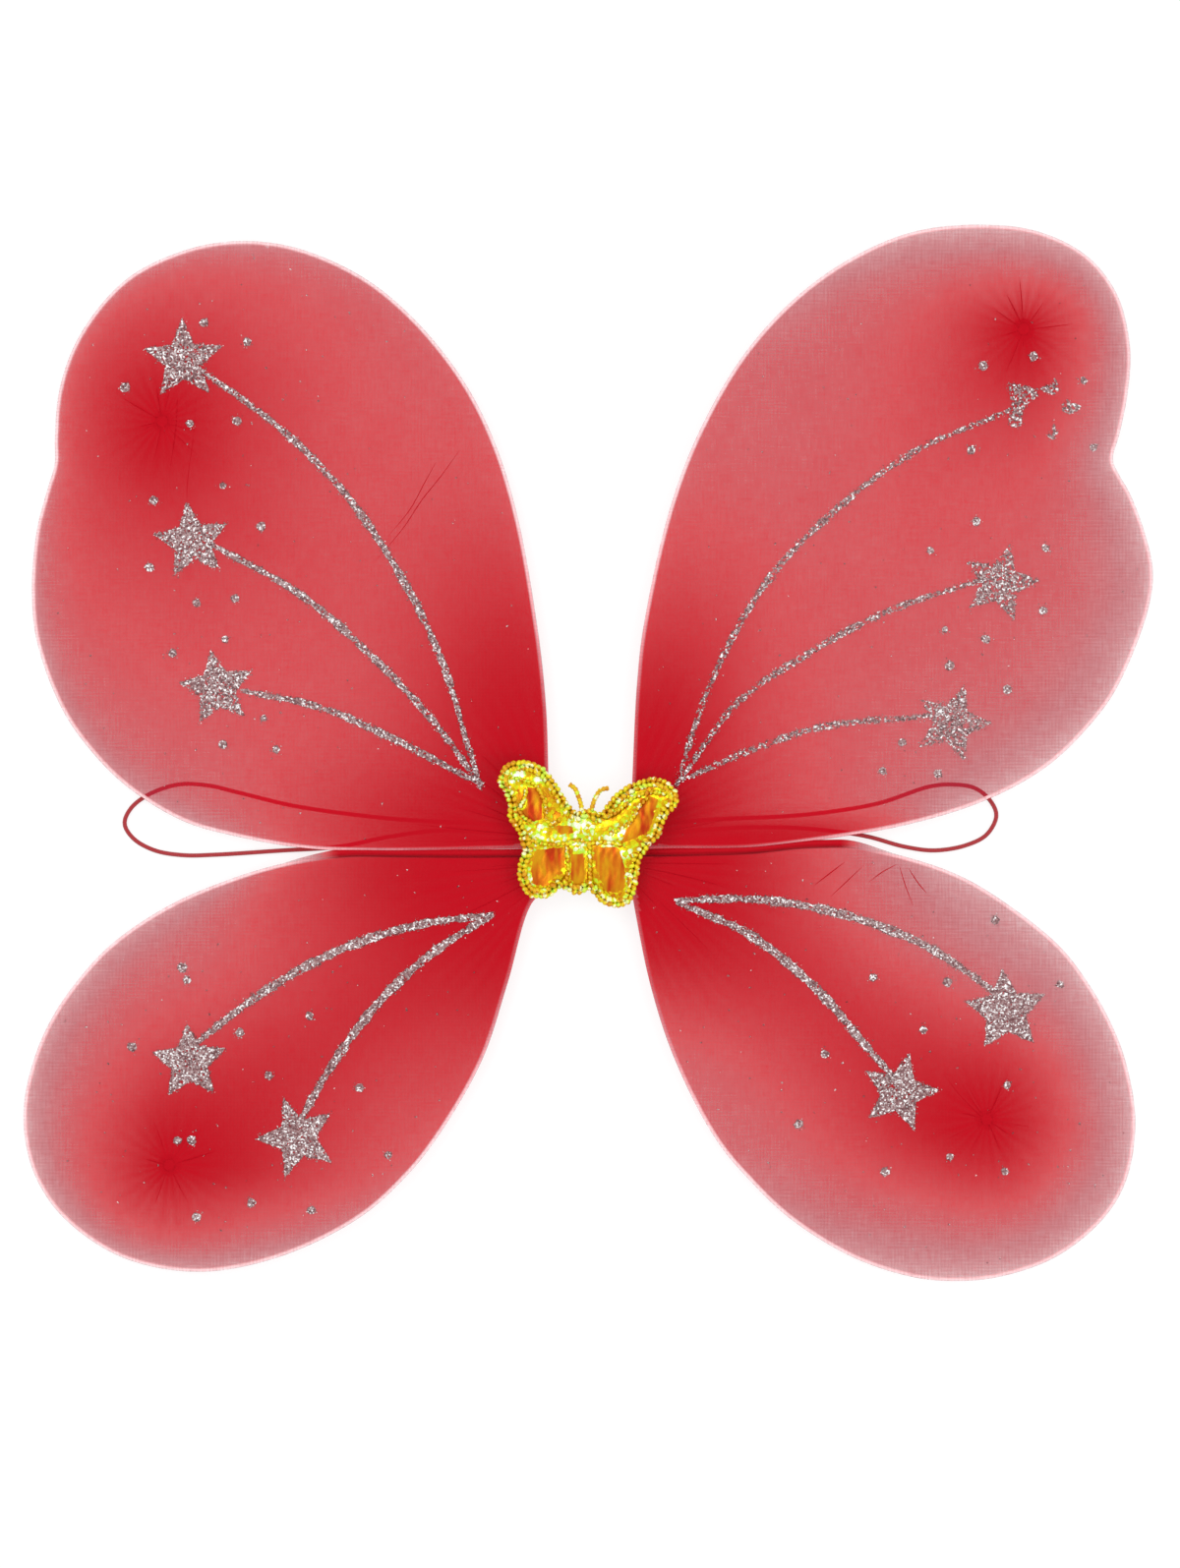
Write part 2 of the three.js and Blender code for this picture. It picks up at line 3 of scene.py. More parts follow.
import logging
import math
from dataclasses import dataclass, field
from enum import Enum
from typing import Callable, Iterable, Optional, Sequence, Union

import bpy
import numpy as np
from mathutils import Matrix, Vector
from mathutils.geometry import delaunay_2d_cdt


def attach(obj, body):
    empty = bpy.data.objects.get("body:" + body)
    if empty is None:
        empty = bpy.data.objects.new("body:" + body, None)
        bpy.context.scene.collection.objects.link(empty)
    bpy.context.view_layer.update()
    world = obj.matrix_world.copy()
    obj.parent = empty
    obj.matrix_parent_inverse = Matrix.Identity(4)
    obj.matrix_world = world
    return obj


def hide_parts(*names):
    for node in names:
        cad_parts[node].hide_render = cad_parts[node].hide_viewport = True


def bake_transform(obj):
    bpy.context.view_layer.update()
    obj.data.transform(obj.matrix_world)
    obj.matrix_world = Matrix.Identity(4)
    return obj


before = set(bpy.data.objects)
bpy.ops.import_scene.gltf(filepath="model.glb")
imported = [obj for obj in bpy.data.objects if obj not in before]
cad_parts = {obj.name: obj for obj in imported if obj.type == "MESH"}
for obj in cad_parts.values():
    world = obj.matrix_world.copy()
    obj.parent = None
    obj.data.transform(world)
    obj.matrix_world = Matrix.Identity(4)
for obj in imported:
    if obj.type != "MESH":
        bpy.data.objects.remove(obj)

log = logging.getLogger("wings")

MM = 0.001
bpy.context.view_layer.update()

Colour = tuple[float, float, float]
Flat = tuple[float, float]


# ---------------------------------------------------------------- named options


class Side(Enum):
    """Which side of the middle a piece is on, as the sign of its X."""

    LEFT = -1
    RIGHT = 1


class Level(Enum):
    """Whether a wing is one of the upper pair or the lower pair, as the sign of its Y."""

    UPPER = 1
    LOWER = -1


class Body(Enum):
    """The bodies that the pieces ride on."""

    CENTRE = "centre"
    LEFT_STRAP = "left_strap_loop"
    RIGHT_STRAP = "right_strap_loop"


class Layer(Enum):
    """The two layers of a net sleeve, as the sign of their height."""

    FRONT = 1
    BACK = -1


# ---------------------------------------------------------------- shader maths


class Signal:
    """A value that varies over a surface, written as a Python expression."""

    def __init__(self, recipe: "Recipe", socket: bpy.types.NodeSocket) -> None:
        """Wrap one output socket of a recipe."""
        self.recipe = recipe
        self.socket = socket

    def _math(self, operation: str, *values: "Value") -> "Signal":
        """Add one Math node."""
        return self.recipe.node("ShaderNodeMath", {"operation": operation}, dict(enumerate(values)))

    def __add__(self, other: "Value") -> "Signal":
        """Sum."""
        return self._math("ADD", self, other)

    def __radd__(self, other: "Value") -> "Signal":
        """Sum with a number on the left."""
        return self._math("ADD", other, self)

    def __sub__(self, other: "Value") -> "Signal":
        """Difference."""
        return self._math("SUBTRACT", self, other)

    def __rsub__(self, other: "Value") -> "Signal":
        """Difference from a number on the left."""
        return self._math("SUBTRACT", other, self)

    def __mul__(self, other: "Value") -> "Signal":
        """Product."""
        return self._math("MULTIPLY", self, other)

    def __rmul__(self, other: "Value") -> "Signal":
        """Product with a number on the left."""
        return self._math("MULTIPLY", other, self)

    def __pow__(self, other: "Value") -> "Signal":
        """Power."""
        return self._math("POWER", self, other)

    def wave(self) -> "Signal":
        """Sine, in radians."""
        return self._math("SINE", self)

    def clamp(self) -> "Signal":
        """Kept between 0 and 1."""
        return self.recipe.node("ShaderNodeClamp", {}, {0: self})

    def ramp(self, *stops: tuple[float, float]) -> "Signal":
        """A curve through stops, each a place and a value."""
        return self.colours(*[(place, (value, value, value)) for place, value in stops])

    def colours(self, *stops: tuple[float, Colour]) -> "Signal":
        """A colour ramp through stops, each a place and a colour."""
        return self.recipe.node("ShaderNodeValToRGB", {"stops": stops}, {0: self})


Value = Union[Signal, float, tuple[float, ...]]
Shade = Union[Signal, Colour]


class Recipe:
    """The nodes of one material, or of the world, from its coordinates to its shader."""

    def __init__(self, owner: Union[str, bpy.types.World]) -> None:
        """Start with no nodes.

        Args:
            owner: the name of a new material, or the world that holds the nodes.
        """
        self.material = bpy.data.materials.new(owner) if isinstance(owner, str) else owner
        self.material.use_nodes = True
        self.tree = self.material.node_tree
        self.tree.nodes.clear()

    def node(
        self,
        kind: str,
        settings: Optional[dict[str, object]] = None,
        inputs: Optional[dict[Union[int, str], Value]] = None,
        output: Union[int, str] = 0,
    ) -> Signal:
        """Add one node.

        Args:
            kind: the node's type.
            settings: its properties, set first; "stops" are a ramp's places and colours.
            inputs: values or links by socket name or number.
            output: the output that is wanted.

        Returns:
            That output.
        """
        node = self.tree.nodes.new(kind)
        for key, value in (settings or {}).items():
            if key == "stops":
                self._set_stops(node.color_ramp, value)
            else:
                setattr(node, key, value)
        for key, value in (inputs or {}).items():
            if isinstance(value, Signal):
                self.tree.links.new(value.socket, node.inputs[key])
            else:
                node.inputs[key].default_value = value
        return Signal(self, node.outputs[output] if node.outputs else None)

    @staticmethod
    def _set_stops(ramp: bpy.types.ColorRamp, stops: Sequence[tuple[float, Colour]]) -> None:
        """Give a colour ramp its stops."""
        while len(ramp.elements) > 1:
            ramp.elements.remove(ramp.elements[0])
        ramp.elements[0].position = stops[0][0]
        ramp.elements[0].color = (*stops[0][1], 1.0)
        for place, colour in stops[1:]:
            ramp.elements.new(place).color = (*colour, 1.0)

    def place(self) -> Signal:
        """The point on the object, in metres."""
        return self.node("ShaderNodeTexCoord", output="Object")

    def uv(self) -> Signal:
        """The piece's own map: along it and round it."""
        return self.node("ShaderNodeTexCoord", output="UV")

    def split(self, vector: Signal) -> tuple[Signal, Signal, Signal]:
        """The three parts of a vector."""
        first = self.node("ShaderNodeSeparateXYZ", {}, {0: vector})
        node = first.socket.node
        return first, Signal(self, node.outputs[1]), Signal(self, node.outputs[2])

    def stretched(self, vector: Signal, scale: tuple[float, float, float]) -> Signal:
        """A vector scaled along each axis."""
        return self.node(
            "ShaderNodeVectorMath", {"operation": "MULTIPLY"}, {0: vector, 1: scale}
        )

    def noise(self, vector: Signal, scale: float, detail: float = 2.0) -> Signal:
        """Smooth noise from 0 to 1."""
        return self.node(
            "ShaderNodeTexNoise", {}, {"Vector": vector, "Scale": scale, "Detail": detail}
        )

    def flakes(self, vector: Signal, scale: float) -> Signal:
        """One random value for each small cell."""
        cells = self.node(
            "ShaderNodeTexVoronoi", {}, {"Vector": vector, "Scale": scale}, output="Color"
        )
        return self.split(cells)[0]

    def attribute(self, name: str) -> Signal:
        """A value that was stored on the mesh."""
        return self.node("ShaderNodeAttribute", {"attribute_name": name}, output="Fac")

    def mix(self, factor: Value, first: Shade, second: Shade) -> Signal:
        """The first colour where the factor is 0, turned into the second where it is 1."""
        pair = [c if isinstance(c, Signal) else (*c, 1.0) for c in (first, second)]
        return self.node(
            "ShaderNodeMix", {"data_type": "RGBA"}, {0: factor, 6: pair[0], 7: pair[1]}, output=2
        )

    def bump(self, height: Signal, strength: float, distance: float) -> Signal:
        """A normal bent by a height, with the distance in metres."""
        return self.node(
            "ShaderNodeBump", {}, {"Height": height, "Strength": strength, "Distance": distance}
        )

    def surface(self, **sockets: Value) -> bpy.types.Material:
        """Close the material with a Principled shader.

        Args:
            sockets: values by socket name, with _ for each space.

        Returns:
            The material.
        """
        named = {key.replace("_", " "): value for key, value in sockets.items()}
        colour = named.get("Base Color")
        if isinstance(colour, tuple) and len(colour) == 3:
            named["Base Color"] = (*colour, 1.0)
            self.material.diffuse_color = (*colour, 1.0)
        shader = self.node("ShaderNodeBsdfPrincipled", {}, named)
        self.node("ShaderNodeOutputMaterial", {}, {"Surface": shader})
        return self.material


# ---------------------------------------------------------------- finishes


@dataclass(frozen=True)
class NetFinish:
    """Sheer nylon net: densest where it is gathered, most open and palest where it is stretched."""

    gathered: Colour = (0.52, 0.001, 0.010)
    folded: Colour = (0.61, 0.002, 0.014)
    flat: Colour = (0.67, 0.004, 0.018)
    stretched: Colour = (0.51, 0.02, 0.045)
    thread: float = 0.0014

    def make(self) -> bpy.types.Material:
        """Build the material."""
        recipe = Recipe("net")
        sheer = recipe.attribute("sheer")
        x, y, _ = recipe.split(recipe.place())
        turns = 2 * math.pi / self.thread
        weave = (x * turns).wave() * 0.5 + (y * turns).wave() * 0.5
        slubs = recipe.noise(recipe.stretched(recipe.place(), (1500, 130, 1)), 1.0) + recipe.noise(
            recipe.stretched(recipe.place(), (130, 1500, 1)), 1.0
        )
        cloud = recipe.noise(recipe.place(), 45, 3)
        open_share = 1.056 * sheer**0.481
        uneven = 1.0 + weave * 0.06 + (slubs - 1.0) * 0.36 + (cloud - 0.5) * 0.16
        colour = sheer.colours(
            (0.0, self.gathered), (0.035, self.folded), (0.09, self.flat), (0.19, self.stretched)
        )
        return recipe.surface(
            Base_Color=colour,
            Roughness=0.6,
            Specular_IOR_Level=0.08,
            Alpha=(1.0 - open_share * uneven).clamp(),
            Normal=recipe.bump(weave + slubs, 0.2, 0.0001),
        )


@dataclass(frozen=True)
class WireFinish:
    """Steel wire in a thin white plastic coat, painted pinker near the middle as the red shade of the
    net over it, and given a painted glow.
    """

    coat: Colour = (0.96, 0.70, 0.72)
    shaded: Colour = (0.96, 0.30, 0.34)

    def make(self) -> bpy.types.Material:
        """Build the material."""
        recipe = Recipe("coated_wire")
        scuffs = recipe.noise(recipe.place(), 900, 4)
        reach = recipe.node(
            "ShaderNodeVectorMath", {"operation": "LENGTH"}, {0: recipe.place()}, output="Value"
        )
        # Within 60 mm of the middle the coat is the shaded colour, fading to the plain coat by 150 mm:
        # painted red shade of the net over the wire.
        coat = recipe.mix(reach.ramp((0.06, 1.0), (0.15, 0.0)), self.coat, self.shaded)
        return recipe.surface(
            Base_Color=recipe.mix(scuffs.ramp((0.45, 0.0), (0.7, 0.25)), coat, (0.7, 0.4, 0.4)),
            # The emission is a painted glow that brightens the wire.
            Emission_Color=coat,
            Emission_Strength=0.3,
            Roughness=0.35,
            Normal=recipe.bump(scuffs, 0.1, 0.0001),
        )


@dataclass(frozen=True)
class GlitterFinish:
    """Silver-pink flakes set in clear glue."""

    flake: float = 0.0006

    def make(self) -> bpy.types.Material:
        """Build the material."""
        recipe = Recipe("glitter")
        cell = recipe.flakes(recipe.place(), 1 / self.flake)
        # The white flakes at the top of the ramp are painted glints; the other stops are the flakes' own
        # tones.
        colour = cell.colours(
            (0.0, (0.12, 0.035, 0.04)),
            (0.25, (0.24, 0.11, 0.115)),
            (0.55, (0.36, 0.21, 0.21)),
            (0.8, (0.52, 0.40, 0.40)),
            (0.88, (1.0, 0.98, 0.98)),
        )
        lost = recipe.flakes(recipe.place(), 1 / (1.4 * self.flake)) - recipe.attribute("worn")
        return recipe.surface(
            Base_Color=colour,
            Alpha=(lost * 9.0).clamp(),
            Metallic=0.25,
            Roughness=cell.ramp((0.0, 0.55), (0.9, 0.3), (1.0, 0.12)),
            Normal=recipe.bump(cell, 0.6, 0.0004),
        )


@dataclass(frozen=True)
class ElasticFinish:
    """Round elastic: a braided cover that shows as small crossing ribs, with painted shade darkening the
    grooves between them.
    """

    colour: Colour = (0.62, 0.012, 0.022)
    ribs: int = 4
    pitch: float = 0.0016

    def make(self) -> bpy.types.Material:
        """Build the material."""
        recipe = Recipe("elastic")
        along, around, _ = recipe.split(recipe.uv())
        turn = around * (2 * math.pi * self.ribs)
        run = along * (2 * math.pi / self.pitch)
        braid = (turn + run).wave() * (turn - run).wave()
        # Painted shade: where the braid is low, in its grooves, the colour drops to 55 per cent.
        shade = braid.ramp((0.0, 0.0), (0.5, 0.5), (1.0, 1.0))
        return recipe.surface(
            Base_Color=recipe.mix(shade, tuple(0.55 * c for c in self.colour), self.colour),
            Roughness=0.6,
            Sheen_Weight=0.3,
            Normal=recipe.bump(braid, 0.5, 0.0002),
        )


@dataclass(frozen=True)
class ClothFinish:
    """A matted or woven cloth in one dye: felt, thread or tape."""

    name: str
    colour: Colour
    grain: float
    streak: tuple[float, float, float] = (1.0, 1.0, 1.0)
    roughness: float = 0.85

    def make(self) -> bpy.types.Material:
        """Build the material."""
        recipe = Recipe(self.name)
        fibres = recipe.noise(recipe.stretched(recipe.place(), self.streak), 1 / self.grain, 5)
        deep = tuple(0.5 * c for c in self.colour)
        return recipe.surface(
            Base_Color=recipe.mix(fibres.ramp((0.3, 0.0), (0.7, 1.0)), deep, self.colour),
            Roughness=self.roughness,
            Sheen_Weight=0.4,
            Normal=recipe.bump(fibres, 0.6, self.grain / 3),
        )


@dataclass(frozen=True)
class GlueFinish:
    """Hot-melt glue, milky and a little glossy."""

    colour: Colour = (0.80, 0.76, 0.64)

    def make(self) -> bpy.types.Material:
        """Build the material."""
        recipe = Recipe("glue")
        cloud = recipe.noise(recipe.place(), 300, 3)
        return recipe.surface(
            Base_Color=recipe.mix(cloud, self.colour, (0.92, 0.90, 0.84)),
            Roughness=0.3,
            Normal=recipe.bump(cloud, 0.4, 0.0006),
        )


@dataclass(frozen=True)
class FoilFinish:
    """Holographic foil cloth: plain amber panels among gold and lime sparkle, with painted white glints
    and painted highlights at the flash spots.
    """

    deep: Colour = (0.50, 0.035, 0.001)
    amber: Colour = (0.62, 0.17, 0.002)
    ochre: Colour = (0.66, 0.30, 0.002)
    gold: Colour = (0.74, 0.58, 0.002)
    lime: Colour = (0.50, 0.86, 0.05)

    def make(self) -> bpy.types.Material:
        """Build the material."""
        recipe = Recipe("foil")
        shine = recipe.attribute("shine")
        flash = recipe.attribute("flash")
        streaks = recipe.noise(recipe.stretched(recipe.place(), (260, 70, 60)), 1.0, 2)
        fine = recipe.noise(recipe.place(), 2600, 3)
        panel = streaks.colours((0.36, self.deep), (0.5, self.amber), (0.62, self.ochre))
        cell = recipe.flakes(recipe.place(), 1 / 0.0014)
        # Painted highlights: near the flash spots the cells are pushed up the ramp towards lime and
        # white.
        bright = cell * 0.74 + flash * 0.52
        spark = bright.colours(
            (0.0, self.amber),
            (0.18, self.ochre),
            (0.34, (0.74, 0.44, 0.002)),
            (0.52, self.gold),
            (0.68, (0.74, 0.80, 0.01)),
            (0.80, self.lime),
            (0.97, (1.0, 1.0, 0.75)),
        )
        sparkle = (shine + (cell - 0.5) * 0.35).ramp((0.38, 0.0), (0.6, 1.0))
        return recipe.surface(
            Base_Color=recipe.mix(sparkle, panel, spark),
            Metallic=0.8,
            Roughness=sparkle.ramp((0.0, 0.35), (1.0, 0.22)),
            Normal=recipe.bump(fine * 0.3 + cell * sparkle, 0.4, 0.0004),
        )


@dataclass(frozen=True)
class MetallicCordFinish:
    """Gold thread twisted into bead-like bumps, with painted lime and white highlights."""

    name: str = "metallic_cord"
    gold: Colour = (0.86, 0.58, 0.002)
    lime: Colour = (0.86, 0.84, 0.01)

    def make(self) -> bpy.types.Material:
        """Build the material."""
        recipe = Recipe(self.name)
        cell = recipe.flakes(recipe.place(), 1 / 0.0017)
        # The lime and white stops at the top of the ramp are painted highlights; the lower stops are the
        # thread's own amber, gold and yellow.
        colour = cell.colours(
            (0.0, (0.70, 0.26, 0.001)),
            (0.26, (0.78, 0.42, 0.001)),
            (0.48, self.gold),
            (0.70, self.lime),
            (0.86, (0.60, 0.92, 0.08)),
            (0.93, (1.0, 1.0, 0.55)),
        )
        strands = recipe.noise(recipe.stretched(recipe.place(), (1.0, 2.5, 1.0)), 2400, 2)
        return recipe.surface(
            Base_Color=colour,
            Metallic=0.35,
            Roughness=0.3,
            Normal=recipe.bump(strands, 0.5, 0.0003),
        )


@dataclass(frozen=True)
class FloorFinish:
    """A plain white table, lit a little from below."""

    colour: Colour = (0.28, 0.28, 0.28)
    glow: float = 0.76

    def make(self) -> bpy.types.Material:
        """Build the material."""
        return Recipe("floor").surface(
            Base_Color=self.colour,
            Roughness=0.9,
            Specular_IOR_Level=0.0,
            Emission_Color=(1.0, 1.0, 1.0, 1.0),
            Emission_Strength=self.glow,
        )


def dressed(finish: type, *details: object) -> bpy.types.Material:
    """A field that makes a finish's material, from its class and details, with the others."""
    return field(default_factory=lambda: finish(*details).make())


@dataclass
class Finishes:
    """Every finish of the wings, made once."""

    net: bpy.types.Material = dressed(NetFinish)
    wire: bpy.types.Material = dressed(WireFinish)
    glitter: bpy.types.Material = dressed(GlitterFinish)
    elastic: bpy.types.Material = dressed(ElasticFinish)
    thread: bpy.types.Material = dressed(ClothFinish, "thread", (0.40, 0.01, 0.02), 0.0003)
    felt: bpy.types.Material = dressed(ClothFinish, "felt", (0.46, 0.014, 0.03), 0.0005)
    gold_felt: bpy.types.Material = dressed(ClothFinish, "gold_felt", (0.80, 0.42, 0.005), 0.0005)
    tape: bpy.types.Material = dressed(ClothFinish, "tape", (0.42, 0.01, 0.025), 0.0004, (4, 1, 1))
    glue: bpy.types.Material = dressed(GlueFinish)
    foil: bpy.types.Material = dressed(FoilFinish)
    cord: bpy.types.Material = dressed(MetallicCordFinish)
    floor: bpy.types.Material = dressed(FloorFinish)


# ---------------------------------------------------------------- lines and meshes


def smooth_line(points: Sequence[Sequence[float]], steps: int, closed: bool = False) -> np.ndarray:
    """Run a smooth centripetal curve through points.

    Args:
        points: the points it passes through, flat or in space.
        steps: how many steps it takes from one point to the next.
        closed: whether it returns to its first point.

    Returns:
        The points along the curve.
    """
    p = np.array(points, float)
    if closed:
        p = np.vstack([p[-1], p, p[0], p[1]])
    else:
        p = np.vstack([2 * p[0] - p[1], p, 2 * p[-1] - p[-2]])
    out = []
    for i in range(1, len(p) - 2):
        a, b, c, d = p[i - 1 : i + 3]
        gap = [max(math.sqrt(np.linalg.norm(v)), 1e-4) for v in (b - a, c - b, d - c)]
        t1 = ((b - a) / gap[0] - (c - a) / (gap[0] + gap[1]) + (c - b) / gap[1]) * gap[1]
        t2 = ((c - b) / gap[1] - (d - b) / (gap[1] + gap[2]) + (d - c) / gap[2]) * gap[1]
        for k in range(steps):
            t = k / steps
            c2, c3 = -3 * b + 3 * c - 2 * t1 - t2, 2 * b - 2 * c + t1 + t2
            out.append(b + t1 * t + c2 * t * t + c3 * t**3)
    if not closed:
        out.append(p[-2])
    return np.array(out)


def respaced(line: np.ndarray, step: Union[float, Callable[[np.ndarray], float]]) -> np.ndarray:
    """Take points along a line a step apart.

    Args:
        line: the line's points.
        step: the distance between points, or a function that gives it at a point.

    Returns:
        The new points, from the line's first to its last.
    """
    lengths = np.r_[0, np.cumsum(np.linalg.norm(np.diff(line, axis=0), axis=1))]
    places = [0.0]
    while places[-1] < lengths[-1]:
        here = np.array([np.interp(places[-1], lengths, line[:, k]) for k in range(line.shape[1])])
        places.append(places[-1] + (step(here) if callable(step) else step))
    at = np.array(places) * lengths[-1] / places[-1]
    return np.stack([np.interp(at, lengths, line[:, k]) for k in range(line.shape[1])], axis=1)


def length_of(line: np.ndarray) -> float:
    """The length along a line's points."""
    return float(np.linalg.norm(np.diff(line, axis=0), axis=1).sum())


def directions(line: np.ndarray, around: int = 0) -> np.ndarray:
    """The unit direction of a line at each of its points.

    Args:
        line: the line's points.
        around: on a closed line, how many points away the two compared points are.

    Returns:
        One unit vector for each point.
    """
    if around:
        run = np.roll(line, -around, 0) - np.roll(line, around, 0)
    else:
        run = np.gradient(line, axis=0)
    return run / np.linalg.norm(run, axis=1)[:, None]


def right_of(run: np.ndarray) -> np.ndarray:
    """Flat directions turned a quarter to the right."""
    return np.stack([run[:, 1], -run[:, 0]], axis=1)


def closed_ring(corners: Sequence[Flat], step: float) -> np.ndarray:
    """Points a step apart round a closed outline, with the first only once."""
    return respaced(np.array([*corners, corners[0]]), step)[:-1]


def rounded_box(
    left: float, right: float, bottom: float, top: float, corner: float, steps: int
) -> list[Flat]:
    """The outline of a box with rounded corners, counter-clockwise.

    Args:
        left: its left side.
        right: its right side.
        bottom: its lower side.
        top: its upper side.
        corner: the radius of its corners.
        steps: how many steps each corner takes.

    Returns:
        The outline's points.
    """
    outline = []
    inner = (
        (right - corner, top - corner),
        (left + corner, top - corner),
        (left + corner, bottom + corner),
        (right - corner, bottom + corner),
    )
    for i, (x, y) in enumerate(inner):
        for k in range(steps + 1):
            angle = math.pi / 2 * (i + k / steps)
            outline.append((x + corner * math.cos(angle), y + corner * math.sin(angle)))
    return outline


def turning(outline: np.ndarray) -> float:
    """Twice an outline's area, positive where it runs counter-clockwise."""
    x, y = outline[:, 0], outline[:, 1]
    return float(x @ np.roll(y, -1) - y @ np.roll(x, -1))


def is_inside(points: np.ndarray, outline: np.ndarray) -> np.ndarray:
    """Which flat points lie inside a closed outline.

    Args:
        points: the points to test.
        outline: the outline's corners.

    Returns:
        One truth value for each point.
    """
    x, y = points[:, 0], points[:, 1]
    inside = np.zeros(len(points), bool)
    for (x1, y1), (x2, y2) in zip(outline, np.roll(outline, -1, axis=0)):
        if y1 != y2:
            crosses = (y1 > y) != (y2 > y)
            inside ^= crosses & (x < (x2 - x1) * (y - y1) / (y2 - y1) + x1)
    return inside


def rim_distance(points: np.ndarray, outline: np.ndarray) -> np.ndarray:
    """How far flat points lie from the nearest point of an outline."""
    nearest = np.full(len(points), 1e9)
    for corner in outline:
        nearest = np.minimum(nearest, ((points - corner) ** 2).sum(1))
    return np.sqrt(nearest)


def lattice(outline: np.ndarray, step: float) -> np.ndarray:
    """A square grid of flat points over an outline's box."""
    low, high = outline.min(0), outline.max(0)
    columns = np.arange(low[0], high[0], step)
    rows = np.arange(low[1], high[1], step)
    return np.array([(x, y) for y in rows for x in columns]).reshape(-1, 2)


def bands(rings: int, sides: int, closed: bool = False) -> list[tuple[int, ...]]:
    """The faces between rings of points that follow one another.

    Args:
        rings: how many rings there are.
        sides: how many points each ring has.
        closed: whether the last ring joins the first.

    Returns:
        The faces, by the numbers of their points.
    """
    faces = []
    for i in range(rings if closed else rings - 1):
        here, there = i * sides, (i + 1) % rings * sides
        for k in range(sides):
            m = (k + 1) % sides
            faces.append((here + k, here + m, there + m, there + k))
    return faces


def filled(outline: np.ndarray, inner: np.ndarray) -> tuple[np.ndarray, list[list[int]], int]:
    """Fill a closed outline with triangles through inner points.

    Args:
        outline: the outline's corners, in order.
        inner: points inside it.

    Returns:
        The points, the triangles and how many of the points are the outline's.
    """
    flat = [Vector(p) for p in np.vstack([outline, inner])]
    ring = list(range(len(outline)))
    points, _, faces, _, _, _ = delaunay_2d_cdt(flat, [], [ring], 1, 1e-7)
    array = np.array([tuple(p) for p in points])
    return array, [list(f) for f in faces], len(outline)


